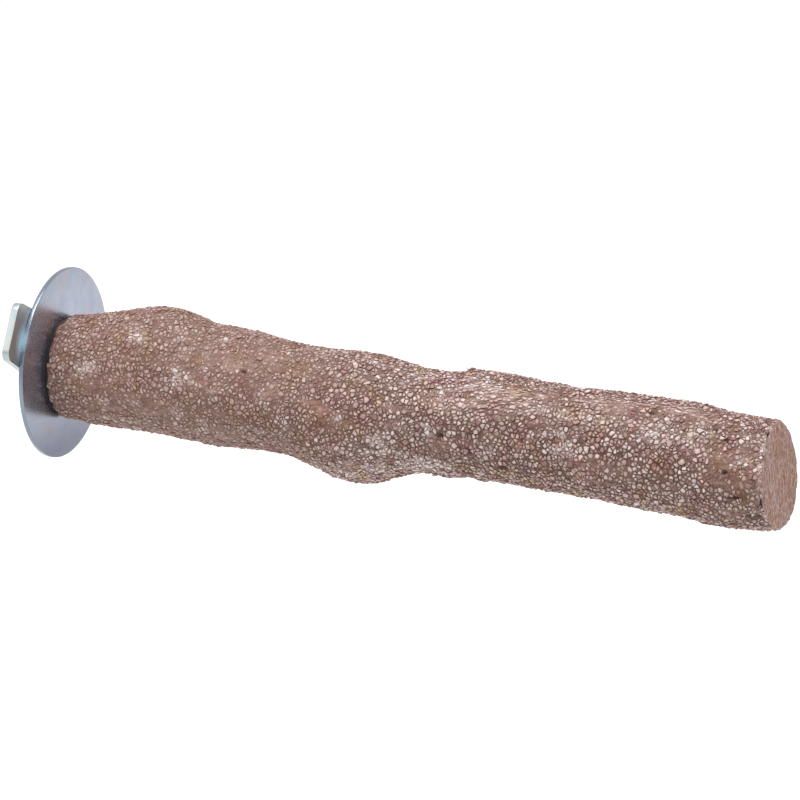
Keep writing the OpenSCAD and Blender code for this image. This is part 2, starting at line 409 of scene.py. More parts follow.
@dataclass(frozen=True)
class ResinBinder(Finish):
    """Tinted resin that holds the chips, brushed on: a satin brown coat, gritty between them.

    On the free end the saw cut through it, which leaves rosy and brown marks up and down.
    """

    name: str = "tinted_resin_binder"
    groove: str = "#593b33"
    groove_full: str = "#6c4f44"
    gritty: str = "#a18477"
    bare: str = "#7a5b4e"
    bare_light: str = "#b79484"
    streak: str = "#d2b2a5"
    chalky: str = "#dfc7c0"
    # Near-black painted shade inside the pits
    pit_shade: str = "#33160f"
    sawn: str = "#83523f"
    sawn_light: str = "#d3a48b"
    sawn_rose: str = "#96675e"
    sawn_rose_light: str = "#d3aaa0"
    sawn_speck: str = "#f2dfd6"
    grit_mm: float = 0.45
    full_until_mm: float = 50.0
    groove_from_mm: float = 100.0
    chalk_gain: float = 1.35
    roughness: float = 0.58
    relief_share: float = 0.6
    relief_mm: float = 0.12

    def layers(self, tree: bpy.types.NodeTree,
               place: bpy.types.NodeSocket) -> tuple[bpy.types.Node, bpy.types.Node, dict]:
        """Colours the coat by the zones in its attributes.

        Args:
            tree: the material's node tree.
            place: the object's coordinates.

        Returns:
            The colour's node, the height's node and any further inputs of the shader.
        """
        read = {zone: add_node(tree, "Attribute", attribute_name=zone).outputs["Fac"]
                for zone in ("bare", "chalk", "streak", "pit_shade", "sawn")}
        grit = add_node(tree, "TexNoise", {"Vector": place, "Scale": 1 / (self.grit_mm * MM),
                                           "Detail": 4.0, "Roughness": 0.65})
        # Noises drawn out along the axes. A scale gives a noise's grain in metres where its
        # kind is TEXTURE, and how many grains there are in a metre where it is POINT
        drawn = {}
        for key, kind, scale, moved, detail, rough in (
                # Lines 1.1 mm apart and 10 mm long, which climb as they run to the free end
                ("lines", "TEXTURE", (0.01, 0.0011, 0.0011), {"Rotation": (0, -0.2, 0)},
                 3.0, 0.6),
                # Saw marks on the free end, 0.9 mm apart and 2.6 mm long, up and down
                ("marks", "POINT", (500, 1150, 380), {}, 3.0, 0.65),
                # Rosy bands 3 mm wide beside browner ones, where the saw dragged the coat
                ("bands", "POINT", (100, 330, 60), {}, 2.0, 0.5),
                # Pale chips that the saw tore out into short flecks
                ("flecks", "POINT", (900, 1900, 800), {"Location": (3, 1, 2)}, 1.0, 0.5)):
            long = add_node(tree, "Mapping", {"Vector": place, "Scale": scale, **moved},
                            vector_type=kind)
            drawn[key] = add_node(tree, "TexNoise", {"Vector": long, "Scale": 1.0,
                                                     "Detail": detail, "Roughness": rough})
        along = add_node(tree, "SeparateXYZ", {"Vector": place})
        mottled = add_node(tree, "MixRGB", {"Fac": 0.45, "Color1": drawn["marks"],
                                            "Color2": grit})
        shares = {}
        for key, value, low, high, most in (
                ("rosy", drawn["bands"], 0.44, 0.56, 1.0),
                ("fine", drawn["lines"], 0.35, 0.68, 1.0),
                ("sawing", mottled, 0.43, 0.59, 1.0),
                ("sandy", grit, 0.44, 0.66, 0.8),
                ("specks", drawn["flecks"], 0.585, 0.67, 0.9),
                # Chalk lies in broken crumbs, not as an even haze
                ("crumbs", grit, 0.42, 0.6, 1.0),
                # The resin stands higher and lighter between the chips of the cage half
                ("far", along, self.full_until_mm * MM, self.groove_from_mm * MM, 1.0)):
            shares[key] = add_node(tree, "MapRange", {"Value": value, "From Min": low,
                                                      "From Max": high, "To Max": most})
        rough = add_node(tree, "MixRGB", {"Fac": 0.5, "Color1": shares["fine"], "Color2": grit})
        worn = add_node(tree, "MapRange", {"Value": rough, "From Min": 0.25, "From Max": 0.75})
        coats = {}
        for key, share, below, over in (
                ("bare", worn, self.bare, self.bare_light),
                ("grained", shares["fine"], self.groove, self.streak),
                ("hollow", shares["rosy"], self.sawn, self.sawn_rose),
                ("high", shares["rosy"], self.sawn_light, self.sawn_rose_light)):
            coats[key] = add_node(tree, "MixRGB", {"Fac": share, "Color1": below,
                                                   "Color2": over})
        face = coats["hollow"]
        for share, over in ((shares["sawing"], coats["high"]),
                            (shares["specks"], self.sawn_speck)):
            face = add_node(tree, "MixRGB", {"Fac": share, "Color1": face, "Color2": over})
        dust = add_node(tree, "Math", {0: shares["crumbs"], 1: read["chalk"]},
                        operation="MULTIPLY", use_clamp=True)
        dust = add_node(tree, "Math", {0: dust, 1: self.chalk_gain}, operation="MULTIPLY",
                        use_clamp=True)
        colour = self.groove_full
        for share, over in ((shares["far"], self.groove), (shares["sandy"], self.gritty),
                            (read["bare"], coats["bare"]), (read["streak"], coats["grained"]),
                            (read["sawn"], face), (dust, self.chalky),
                            (read["pit_shade"], self.pit_shade)):
            colour = add_node(tree, "MixRGB", {"Fac": share, "Color1": colour, "Color2": over})
        relief = grit
        for share, over in ((read["streak"], shares["fine"]),
                            (read["sawn"], shares["sawing"])):
            relief = add_node(tree, "MixRGB", {"Fac": share, "Color1": relief, "Color2": over})
        return mineral_drift(tree, colour, place), relief, {}


@dataclass(frozen=True)
class SawnWood(Finish):
    """Unfinished branch wood, sawn across: dark rings round the pith, crossed by saw marks."""

    name: str = "sawn_branch_wood"
    early: str = "#9a7a60"
    late: str = "#6d523f"
    # Near-black painted shade on the core's side by the washer
    crevice_shade: str = "#241a1a"
    ring_mm: float = 1.6
    face_radius_mm: float = 11.0
    crevice_shade_edge_mm: float = 0.9
    roughness: float = 0.8

    def layers(self, tree: bpy.types.NodeTree,
               place: bpy.types.NodeSocket) -> tuple[bpy.types.Node, bpy.types.Node, dict]:
        """Lays growth rings round the X axis.

        Args:
            tree: the material's node tree.
            place: the object's coordinates.

        Returns:
            The colour's node, the height's node and any further inputs of the shader.
        """
        drift = add_node(tree, "TexNoise", {"Vector": place, "Scale": 120.0, "Detail": 3.0})
        # A wave of Scale 1 is 0.314 long
        rings = add_node(tree, "TexWave", {"Vector": place, "Scale": 0.314 / (self.ring_mm * MM),
                                           "Distortion": 1.6, "Detail": 2.0,
                                           "Detail Scale": 1.5},
                         wave_type="RINGS", rings_direction="X").outputs["Fac"]
        # Saw marks 0.8 mm apart and 6.7 mm long, as so many in a metre
        marks = add_node(tree, "Mapping", {"Vector": place, "Scale": (200, 1200, 150)})
        saw = add_node(tree, "TexNoise", {"Vector": marks, "Scale": 1.0, "Detail": 3.0})
        tone = add_node(tree, "Math", {0: rings, 1: drift}, operation="MULTIPLY",
                        use_clamp=True)
        # Painted shade: the core's side, outside the face, is near-black where it shows by the
        # washer, in the crevice there
        across = add_node(tree, "Mapping", {"Vector": place, "Scale": (0, 1, 1)})
        radius = add_node(tree, "VectorMath", {0: across}, operation="LENGTH")
        shaded_side = add_node(tree, "MapRange", {
            "Value": radius.outputs["Value"], "From Min": self.face_radius_mm * MM,
            "From Max": (self.face_radius_mm + self.crevice_shade_edge_mm) * MM})
        colour = self.early
        for share, over in ((tone, self.late), (shaded_side, self.crevice_shade)):
            colour = add_node(tree, "MixRGB", {"Fac": share, "Color1": colour, "Color2": over})
        return colour, saw, {}


@dataclass(frozen=True)
class ZincPlate(Finish):
    """Zinc-plated steel: a cool silver plating, clouded in soft patches and lightly rubbed.

    The optional settings give the heights over which painted shade darkens the lower part, the
    radius at which a dull rim of sheared steel and painted shade begins, the middle of a painted
    blue highlight, and the X behind which that highlight has gone. A piece may have none of them.
    """

    name: str = "zinc_plated_steel"
    silver: str = "#adb5c4"
    cloud: str = "#9fa6b9"
    warm: str = "#b0acb4"
    # Painted shade on the lower part of a piece
    lower_shade: str = "#686b7c"
    lower_shade_mm: tuple[float, float] | None = None
    lower_shade_rag_mm: float = 6.0
    # A dull rim: partly sheared steel, partly painted shade
    sheared_rim_and_shade: str = "#7b8490"
    sheared_rim_and_shade_mm: float | None = None
    # A painted blue highlight, and how much less metallic the plating is under it
    glint: str = "#cdecff"
    glint_mm: tuple[float, float, float] | None = None
    glint_reach_mm: float = 4.3
    glint_metal_drop: float = 0.8
    seat_mm: float | None = None
    cloud_mm: float = 7.0
    rub_mm: float = 0.4
    rub_along: tuple[float, float, float] = (1.0, 1.0, 1.3)
    metallic: float = 0.92
    roughness: float = 0.24
    relief_share: float = 0.1
    relief_mm: float = 0.01

    def layers(self, tree: bpy.types.NodeTree,
               place: bpy.types.NodeSocket) -> tuple[bpy.types.Node, bpy.types.Node, dict]:
        """Clouds and rubs the plating, and adds the film, rim and blue spot that a piece has.

        Args:
            tree: the material's node tree.
            place: the object's coordinates.

        Returns:
            The colour's node, the height's node and any further inputs of the shader.
        """
        axes = add_node(tree, "SeparateXYZ", {"Vector": place})
        cloud = add_node(tree, "TexNoise", {"Vector": place, "Scale": 1 / (self.cloud_mm * MM),
                                            "Detail": 3.0, "Roughness": 0.55})
        other = add_node(tree, "TexNoise", {"Vector": place, "Scale": 0.7 / (self.cloud_mm * MM),
                                            "Detail": 2.0, "W": 3.0}, noise_dimensions="4D")
        patch = add_node(tree, "MapRange", {"Value": cloud, "From Min": 0.35,
                                            "From Max": 0.65})
        tint = add_node(tree, "MapRange", {"Value": other, "From Min": 0.45, "From Max": 0.7})
        coats = [(patch, self.cloud), (tint, self.warm)]
        if self.lower_shade_mm:
            # Painted shade: the plating darkens to a blue-grey towards the lower edge, with
            # ragged ends, for the dimmer reflection there
            ragged = add_node(tree, "Math", {0: cloud, 1: self.lower_shade_rag_mm * MM,
                                             2: axes.outputs["Z"]}, operation="MULTIPLY_ADD")
            start, full = ((z + self.lower_shade_rag_mm / 2) * MM for z in self.lower_shade_mm)
            lower_shade = add_node(tree, "MapRange", {"Value": ragged, "From Min": start,
                                               "From Max": full})
            coats.append((lower_shade, self.lower_shade))
        if self.sheared_rim_and_shade_mm:
            # The rim is duller than the faces: partly sheared steel, partly painted shade that
            # dims its highlight
            across = add_node(tree, "Mapping", {"Vector": place, "Scale": (0, 1, 1)})
            radius = add_node(tree, "VectorMath", {0: across}, operation="LENGTH")
            rim = add_node(tree, "MapRange", {
                "Value": radius.outputs["Value"], "From Min": self.sheared_rim_and_shade_mm * MM,
                "From Max": (self.sheared_rim_and_shade_mm + 0.15) * MM, "To Max": 0.85})
            coats.append((rim, self.sheared_rim_and_shade))
        further = {"Metallic": self.metallic}
        if self.glint_mm:
            # Painted highlight: a blue glint by the washer's seat, less metallic there so that it
            # renders brighter
            spot = tuple(v * MM for v in self.glint_mm)
            away = add_node(tree, "VectorMath", {0: place, 1: spot}, operation="DISTANCE")
            glint_share = add_node(tree, "MapRange", {"Value": away.outputs["Value"],
                                               "From Min": self.glint_reach_mm * MM,
                                               "From Max": self.glint_reach_mm * 0.3 * MM})
            if self.seat_mm is not None:
                front = add_node(tree, "MapRange", {"Value": axes,
                                                    "From Min": (self.seat_mm - 0.5) * MM,
                                                    "From Max": (self.seat_mm - 0.15) * MM})
                glint_share = add_node(tree, "Math", {0: glint_share, 1: front}, operation="MULTIPLY")
            coats.append((glint_share, self.glint))
            further["Metallic"] = add_node(tree, "MapRange", {
                "Value": glint_share, "To Min": self.metallic,
                "To Max": self.metallic - self.glint_metal_drop})
        scale = tuple(1 / (self.rub_mm * MM * along) for along in self.rub_along)
        lines = add_node(tree, "Mapping", {"Vector": place, "Scale": scale})
        rub = add_node(tree, "TexNoise", {"Vector": lines, "Scale": 1.0, "Detail": 4.0,
                                          "Roughness": 0.6})
        further["Roughness"] = add_node(tree, "MapRange", {
            "Value": rub, "From Min": 0.3, "From Max": 0.7, "To Min": self.roughness - 0.03,
            "To Max": self.roughness + 0.05})
        colour = self.silver
        for share, over in coats:
            colour = add_node(tree, "MixRGB", {"Fac": share, "Color1": colour, "Color2": over})
        return colour, rub, further


# The coated branch

class Zone(enum.Enum):
    """What a patch of the coating looks like."""

    BARE = "bare"
    CHALK = "chalk"
    STREAK = "streak"
    PIT = "pit_shade"
    CRUST = "crust"


@dataclass(frozen=True)
class Patch:
    """One patch of the coating.

    x is measured from the washer and turn from the top towards the front. reach and spread are
    half its length along the branch and half its width round it. A crust's strength is its
    height in millimetres.
    """

    zone: Zone
    x: float
    turn: float
    reach: float
    spread: float
    strength: float = 1.0


# Each row gives a patch's x, turn, reach and spread, and its strength where that isn't 1
PATCHES = tuple(Patch(zone, *row) for zone, rows in (
    (Zone.CHALK, (
        (88.5, 139, 6.0, 3.3, 2.2), (94.5, 97, 2.6, 1.5), (103, 129, 6.5, 2.4, 2.2),
        (115.5, 24, 4.0, 2.6, 1.2), (110, 47, 2.6, 2.4, 1.1), (143, 78, 2.2, 2.4, 1.3),
        (167, 54, 5.0, 1.8, 0.9), (107.4, 84, 1.9, 1.5, 1.5), (195, 48, 1.6, 4.0, 0.8),
        (12, 79, 3.0, 2.4, 0.6), (25.6, 42, 3.0, 2.2, 0.6), (40, 72, 3.0, 2.0, 0.5),
        (145, 45, 4.0, 1.5, 0.8), (178, 39, 3.0, 2.0, 0.7), (176, 52, 3.0, 2.0, 0.6),
        (99.6, 79, 2.0, 1.3, 0.5), (101.5, 12, 3.2, 2.2, 1.1), (92.5, 108, 2.4, 0.8, 0.8))),
    (Zone.BARE, (
        (51, 47, 8.0, 2.6), (62, 68, 5.0, 2.0, 0.8), (14, 94, 6.0, 2.0, 0.8),
        (31, 106, 9.0, 2.6), (48, 73, 6.0, 1.8, 0.8), (62.7, 28, 6.0, 2.4, 0.8),
        (156, 33, 6.0, 2.4, 0.8), (186, 63, 6.0, 4.0), (176, 20, 7.0, 2.4, 0.9),
        (153.6, 96, 6.0, 1.8, 0.7), (135.7, 24, 6.0, 2.2, 0.7), (81, 80, 4.0, 2.0, 0.7),
        (110, 101, 3.0, 2.6, 0.9), (19, 114, 6.0, 1.8, 0.8), (190, 86, 4.5, 3.2, 0.7),
        (189, 120, 5.0, 1.6, 0.8))),
    (Zone.STREAK, (
        (125.5, 37, 8.0, 3.2), (119, 52, 4.0, 2.0, 0.6), (153, 20, 9.0, 1.8, 0.8),
        (171, 14, 8.0, 2.2, 0.7))),
    (Zone.PIT, (
        (56.3, 54, 0.59, 0.48), (110.4, 88, 0.68, 0.72), (118.6, 104, 0.68, 0.72),
        (126.6, 120, 1.36, 0.4), (164.5, 28, 0.77, 0.4), (181.5, 34, 0.62, 0.6, 1.2),
        (185.2, 43, 0.7, 0.6, 1.2), (186, 75, 0.64, 0.6, 1.2), (194.9, 27, 0.77, 0.96),
        (192.5, 122, 2.1, 0.5, 1.2), (188.5, 100, 1.5, 0.38, 1.1), (195.5, 103, 0.42, 1.44))),
    (Zone.CRUST, (
        (112.8, 350, 1.5, 1.5, 0.9), (109.0, 161, 1.3, 1.2, 0.5), (118.5, 160, 1.2, 1.2, 0.5),
        (124.0, 162, 1.4, 1.2, 0.45), (46.0, 162, 1.6, 1.3, 0.4), (62.0, 160, 1.8, 1.4, 0.4),
        (78.0, 162, 1.2, 1.2, 0.45), (178.0, 158, 1.4, 1.2, 0.4))),
) for row in rows)


@dataclass
class CoatingGauge:
    """Measures the coating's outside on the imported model, and answers for any place on it.

    A place is given by its distance from the washer and its turn from the top towards the front.
    """

    node: str = "grit_coating"
    step: float = 0.5
    turns: int = 256
    side_start: float = 3.5
    side_end: float = 191.0
    table_end: float = 198.0
    blur_middle: float = 2.0
    blur_along: float = 2.0
    blur_round: float = 5.0
    cast_from: float = 45.0
    slope_run: float = 4.0
    end_reach: float = 8.0
    end_steps: int = 9
    end_cast_from: float = 250.0
    about_end: float = 196.0

    def __post_init__(self) -> None:
        """Casts rays at the coating and keeps a smooth table of its radii."""
        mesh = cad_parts[self.node].data
        corners = [v.co.copy() for v in mesh.vertices]
        self.tree = BVHTree.FromPolygons(corners, [tuple(p.vertices) for p in mesh.polygons])
        self.xs = np.arange(0, self.table_end + self.step, self.step)
        self.angles = np.arange(self.turns) * 2 * math.pi / self.turns
        inside = (self.xs >= self.side_start) & (self.xs <= self.side_end)
        places = self.xs[inside]
        middle = np.zeros((len(places), 2))
        for _ in range(2):
            radii = self.cast_round(places, middle)
            shift_y = (-radii * np.sin(self.angles)).mean(1) * 2
            shift_z = (radii * np.cos(self.angles)).mean(1) * 2
            middle += np.stack([shift_y, shift_z], 1)
            middle = smooth(middle, self.blur_middle / self.step, 0, False)
        radii = self.cast_round(places, middle)
        self.middle = self.extend(middle)
        radii = self.extend(radii)
        radii = smooth(radii, self.blur_along / self.step, 0, False)
        self.radii = smooth(radii, self.blur_round / 360 * self.turns, 1, True)
        self.end_plane = self.measure_end()

    def cast_round(self, places: np.ndarray, middle: np.ndarray) -> np.ndarray:
        """Measures radii round the branch.

        Args:
            places: distances from the washer.
            middle: the centre's Y and Z at each of them.

        Returns:
            A table of radii, one row a place.
        """
        out = np.empty((len(places), self.turns))
        for i, x in enumerate(places):
            centre = Vector((x, middle[i, 0], middle[i, 1])) * MM
            for k, a in enumerate(self.angles):
                way = Vector((0, -math.sin(a), math.cos(a)))
                hit = self.tree.ray_cast(centre + way * self.cast_from * MM, -way)
                out[i, k] = self.cast_from - hit[3] / MM
        return out

    def extend(self, values: np.ndarray) -> np.ndarray:
        """Carries a table on at both ends, along the slope of its last few millimetres.

        Args:
            values: the table that the rays gave, one row a distance along the side.

        Returns:
            The table with a row for every distance in xs.
        """
        before = int(round(self.side_start / self.step))
        after = len(self.xs) - before - len(values)
        run = int(self.slope_run / self.step)
        fall = (values[0] - values[run]) / run
        rise = (values[-1] - values[-1 - run]) / run
        head = values[0] + fall * np.arange(before, 0, -1)[:, None]
        tail = values[-1] + rise * np.arange(1, after + 1)[:, None]
        return np.concatenate([head, values, tail])

    def measure_end(self) -> np.ndarray:
        """Fits a plane to the free end.

        Returns:
            The plane's X at Y and Z of nought, and its slopes along Y and Z.
        """
        last = self.middle[-1]
        rows, hits = [], []
        steps = np.linspace(-self.end_reach, self.end_reach, self.end_steps)
        for y in steps:
            for z in steps:
                start = Vector((self.end_cast_from, last[0] + y, last[1] + z)) * MM
                hit = self.tree.ray_cast(start, Vector((-1, 0, 0)))
                rows.append([1, last[0] + y, last[1] + z])
                hits.append(self.end_cast_from - hit[3] / MM)
        return np.linalg.lstsq(np.array(rows), np.array(hits), rcond=None)[0]

    def look_up(self, table: np.ndarray, x: np.ndarray, turn: np.ndarray) -> np.ndarray:
        """Reads a table of radii between its cells.

        Args:
            table: one row a distance and one column a turn.
            x: distances in millimetres.
            turn: turns in radians.

        Returns:
            One value a place.
        """
        row = np.clip(x / self.step, 0, len(self.xs) - 1.001)
        column = turn / (2 * math.pi) * self.turns
        i, k = np.floor(row).astype(int), np.floor(column).astype(int)
        u, v = row - i, column - k
        k0, k1 = k % self.turns, (k + 1) % self.turns
        return ((table[i, k0] * (1 - v) + table[i, k1] * v) * (1 - u)
                + (table[i + 1, k0] * (1 - v) + table[i + 1, k1] * v) * u)

    def centre(self, x: np.ndarray) -> tuple[np.ndarray, np.ndarray]:
        """The centre line's Y and Z at distances from the washer."""
        return (np.interp(x, self.xs, self.middle[:, 0]),
                np.interp(x, self.xs, self.middle[:, 1]))

    def radius(self, x: np.ndarray, turn: np.ndarray) -> np.ndarray:
        """Radius over the coating, in millimetres."""
        return self.look_up(self.radii, x, turn)

    def place(self, x: np.ndarray, turn: np.ndarray, inset: np.ndarray | float = 0.0,
              back: np.ndarray | float = 0.0) -> np.ndarray:
        """Points on the coating in millimetres.

        Args:
            x: distances at which the centre and the radius are read.
            turn: turns in radians.
            inset: how far the point lies inside the radius.
            back: how far the point lies towards the cage from x.

        Returns:
            An array of X, Y and Z.
        """
        cy, cz = self.centre(x)
        r = self.radius(x, turn) - inset
        return np.stack([x - back, cy - r * np.sin(turn), cz + r * np.cos(turn)], -1)

    def face_x(self, points: np.ndarray) -> np.ndarray:
        """X of the free end's plane at each point's Y and Z, in millimetres."""
        p = self.end_plane
        return p[0] + p[1] * points[..., 1] + p[2] * points[..., 2]

    def side_length(self, turn: np.ndarray) -> np.ndarray:
        """Finds where the side meets the free end's plane.

        Args:
            turn: turns in radians.

        Returns:
            Distances from the washer in millimetres, one a turn.
        """
        x = np.full_like(turn, self.about_end)
        for _ in range(4):
            x = self.face_x(self.place(x, turn))
        return x


@dataclass
class ChipBed:
    """Where the chips lie, one row a chip: its middle, its plane and the zones that it is in.

    first and second lie in the plane and normal points out of it. limit is how far the
    coating's side reaches at the chip's turn.
    """

    x: np.ndarray
    turn: np.ndarray
    limit: np.ndarray
    middle: np.ndarray
    first: np.ndarray
    second: np.ndarray
    normal: np.ndarray
    found: dict[Zone, np.ndarray]


CHIP_PIECES = ("grit_chips_cage_end", "grit_chips_swelling", "grit_chips_middle",
               "grit_chips_free_end")
# Patches where the front view doesn't reach: how many of each zone, their reach and spread, and
# between which distances and turns they lie
HIDDEN_PATCHES = ((Zone.BARE, 16, 6.5, 2.3), (Zone.CHALK, 14, 3.6, 2.3),
                  (Zone.PIT, 12, 0.9, 0.7), (Zone.STREAK, 1, 8.0, 4.0))
HIDDEN_X = (6, 190)
HIDDEN_TURN = (182, 338)
# About the branch's radius, for noise that only goes round it
NEAR_RADIUS = 14.0
# The short steps along and round the branch that give a chip's plane
AHEAD = 0.3
ASIDE = 0.02
# The outline of a chip whose neighbours leave it no room
SMALLEST_CHIP = ((0.3, 0.0), (-0.15, 0.26), (-0.15, -0.26))
# A halved side's new corner stands out by a fiftieth, so that the outline stays convex
BULGE_SHARE = 0.51
OUT_OF_REACH = 99.0


def fit_corners(ring: list[list[float]], wanted: int) -> list[list[float]]:
    """Gives an outline a set number of corners.

    Args:
        ring: the outline's corners, in order.
        wanted: how many it should have.

    Returns:
        The outline, with its slightest corners left out or its longest sides halved.
    """
    if len(ring) < 3:
        ring = [list(corner) for corner in SMALLEST_CHIP]
    while len(ring) > wanted:
        areas = []
        for (ax, ay), (bx, by), (cx, cy) in zip(ring[-1:] + ring[:-1], ring, ring[1:] + ring[:1]):
            areas.append(abs((bx - ax) * (cy - ay) - (by - ay) * (cx - ax)))
        ring.pop(areas.index(min(areas)))
    while len(ring) < wanted:
        sides = [math.dist(a, b) for a, b in zip(ring, ring[1:] + ring[:1])]
        k = sides.index(max(sides))
        (ax, ay), (bx, by) = ring[k], ring[(k + 1) % len(ring)]
        ring.insert(k + 1, [(ax + bx) * BULGE_SHARE, (ay + by) * BULGE_SHARE])
    return ring


@dataclass
class CoatedBranch:
    """The branch: its wooden core, the resin skin on it and the mineral chips in the resin.

    A pair of values is a range, but for lean, whose pair is a mean and a spread.
    """

    gauge: CoatingGauge
    patches: tuple[Patch, ...] = PATCHES
    seed: int = 7
    # The coating and its ends
    coat: float = 1.2
    core_gap: float = 0.03
    cap_share: float = 0.85
    deepest_share: float = 0.85
    edge_start: float = 0.75
    edge_rag: float = 0.4
    edge_length: float = 1.5
    rim: float = 1.2
    rim_rag: float = 0.5
    rim_band: float = 2.0
    rim_band_edge: float = 0.9
    crisp_from: float = 60.0
    crisp_over: float = 40.0
    # The skin's rows and columns
    columns: int = 208
    side_rows: int = 392
    edge_rows: int = 6
    rim_rows: int = 7
    face_rows: int = 12
    inner_rows: int = 48
    inner_end_rows: int = 5
    # How far the resin lies below the chips' tops, and how uneven it is
    lump_height: float = 0.2
    binder_depth: float = 0.42
    cage_rise: float = 0.1
    bare_depth: float = 0.26
    streak_depth: float = 0.36
    rim_depth: float = 0.26
    face_depth: float = 0.2
    pit_depth: float = 0.75
    least_depth: float = 0.03
    ripple: float = 0.07
    grit: float = 0.06
    line: float = 0.1
    rim_grit: float = 0.12
    face_ripple: float = 0.05
    face_grit: float = 0.03
    # How the chips are scattered and cut
    chip_pitch: float = 1.14
    chip_jitter: float = 0.56
    chip_margin: float = 0.7
    lip_margin: float = 0.5
    chip_spread: float = 0.42
    chip_gap: float = 0.17
    chip_corners: int = 8
    chip_least: float = 0.14
    chip_most: float = 1.4
    chip_reach: float = 1.0
    chip_worn: float = 1.1
    worn_spread: tuple[float, float] = (-0.12, 0.16)
    size_shares: tuple[float, float] = (0.66, 1.0)
    neighbours: int = 12
    breaks: int = 7
    looks: int = 72
    thin_share: float = 0.05
    thin_drift: float = 0.1
    missing_share: float = 0.03
    bare_missing_share: float = 0.2
    # How the chips stand in the resin
    chip_root: float = 0.55
    chip_brow: float = 0.14
    chip_shoulder: float = 0.03
    brow_rough: float = 0.015
    shoulder_rough: float = 0.03
    shoulder_shares: tuple[float, float] = (0.55, 0.86)
    chip_tops: tuple[float, float] = (-0.2, 0.0)
    chip_proudest: float = 0.05
    crown: float = 0.01
    crown_shift: float = 0.06
    bare_sink: float = 0.06
    streak_sink: float = 0.02
    rim_rise: float = 0.05
    slope: float = 0.13
    lean: tuple[float, float] = (0.2, 0.16)
    face_clearance: float = 0.12
    piece_length: float = 49.5

    def __post_init__(self) -> None:
        """Adds patches on the side that the front view doesn't show."""
        rng = np.random.default_rng(self.seed)
        extra = []
        for zone, count, reach, spread in HIDDEN_PATCHES:
            for _ in range(count):
                size = rng.uniform(0.7, 1.3)
                extra.append(Patch(zone, rng.uniform(*HIDDEN_X), rng.uniform(*HIDDEN_TURN),
                                   reach * size, spread * size, rng.uniform(0.6, 1.0)))
        self.patches = self.patches + tuple(extra)

    def zone_share(self, zone: Zone, x: np.ndarray, turn: np.ndarray,
                   ragged: np.ndarray) -> np.ndarray:
        """How strongly a zone holds at each place, from 0 to a little over 1.

        Args:
            zone: the zone.
            x: distances from the washer.
            turn: turns in radians.
            ragged: noise that makes the patches' edges uneven.

        Returns:
            One share a place.
        """
        radius = self.gauge.radius(x, turn)
        total = np.zeros(np.broadcast(x, turn).shape)
        steep, rag = (4.0, 0.12) if zone is Zone.PIT else (2.4, 0.45)
        for patch in self.patches:
            if patch.zone is not zone:
                continue
            away = (turn - math.radians(patch.turn) + math.pi) % (2 * math.pi) - math.pi
            far = np.hypot((x - patch.x) / patch.reach, away * radius / patch.spread)
            far = np.maximum(far * (1 + rag * ragged), 0)
            # A patch has half its strength at its reach
            total = np.maximum(total, patch.strength * np.exp(-0.69 * far ** steep))
        return np.clip(total, 0, 1.2)

    def zones(self, x: np.ndarray, turn: np.ndarray) -> dict[Zone, np.ndarray]:
        """All coloured zones' shares at places, with faint bare and chalky drifts.

        Args:
            x: distances from the washer.
            turn: turns in radians.

        Returns:
            For each zone one share a place.
        """
        points = self.gauge.place(x, turn)
        ragged = grain(points, Grain.RAGGED)
        found = {zone: self.zone_share(zone, x, turn, ragged)
                 for zone in Zone if zone is not Zone.CRUST}
        bare = np.clip(np.maximum(found[Zone.BARE] * (0.75 + 0.35 * ragged),
                                  (grain(points, Grain.BARE_DRIFT) - 0.5) * 1.3), 0, 1)
        chalk = np.clip(found[Zone.CHALK] * (1 + 0.5 * ragged)
                        + np.maximum(grain(points, Grain.CHALK_DRIFT) - 0.5, 0) * 0.9, 0, 1)
        # Chalk comes off in crumbs, so it is broken up every 1.5 mm or so
        chalk *= np.clip(0.86 + 1.8 * grain(points, Grain.CRUMBS), 0, 1.4)
        found[Zone.CHALK] = np.clip(chalk, 0, 1)
        found[Zone.BARE] = bare * (1 - np.clip(found[Zone.CHALK] * 1.3, 0, 1))
        return found

    def lumps(self, points: np.ndarray) -> np.ndarray:
        """Measures how far the coating's crust stands out or falls in.

        Args:
            points: places in millimetres.

        Returns:
            One height in millimetres a place, less than nought where it falls in.
        """
        height = (self.lump_height * grain(points, Grain.LUMPS)
                  + self.lump_height * 0.6 * grain(points, Grain.SMALL_LUMPS))
        for patch in self.patches:
            if patch.zone is Zone.CRUST:
                turn = np.array([math.radians(patch.turn)])
                middle = self.gauge.place(np.array([patch.x]), turn)[0]
                size = np.array([patch.reach, patch.spread, patch.spread])
                far = np.linalg.norm((points - middle) / size, axis=-1)
                height += patch.strength * np.exp(-far ** 2)
        return height

    def crisp(self, x: np.ndarray) -> np.ndarray:
        """From 0 in the cage half to 1 in the far half, where the chips stand out more."""
        return np.clip((x - self.crisp_from) / self.crisp_over, 0, 1)

    def ragged_ring(self, turn: np.ndarray, mean: float, rag: float, field: Grain) -> np.ndarray:
        """A value that wanders as it goes round the branch.

        Args:
            turn: turns in radians.
            mean: the value to wander about.
            rag: how far it may wander.
            field: the noise that it follows.

        Returns:
            One value a turn.
        """
        ring = np.stack([np.zeros_like(turn), np.sin(turn), np.cos(turn)], -1) * NEAR_RADIUS
        return mean + rag * grain(ring, field)

    def edge(self, turn: np.ndarray) -> np.ndarray:
        """Where the coating starts at the cage end, in millimetres."""
        return self.ragged_ring(turn, self.edge_start, self.edge_rag, Grain.CAGE_EDGE)

    def rim_at(self, turn: np.ndarray) -> np.ndarray:
        """Radius of the free end's worn rim, in millimetres."""
        return self.ragged_ring(turn, self.rim, self.rim_rag, Grain.RIM)

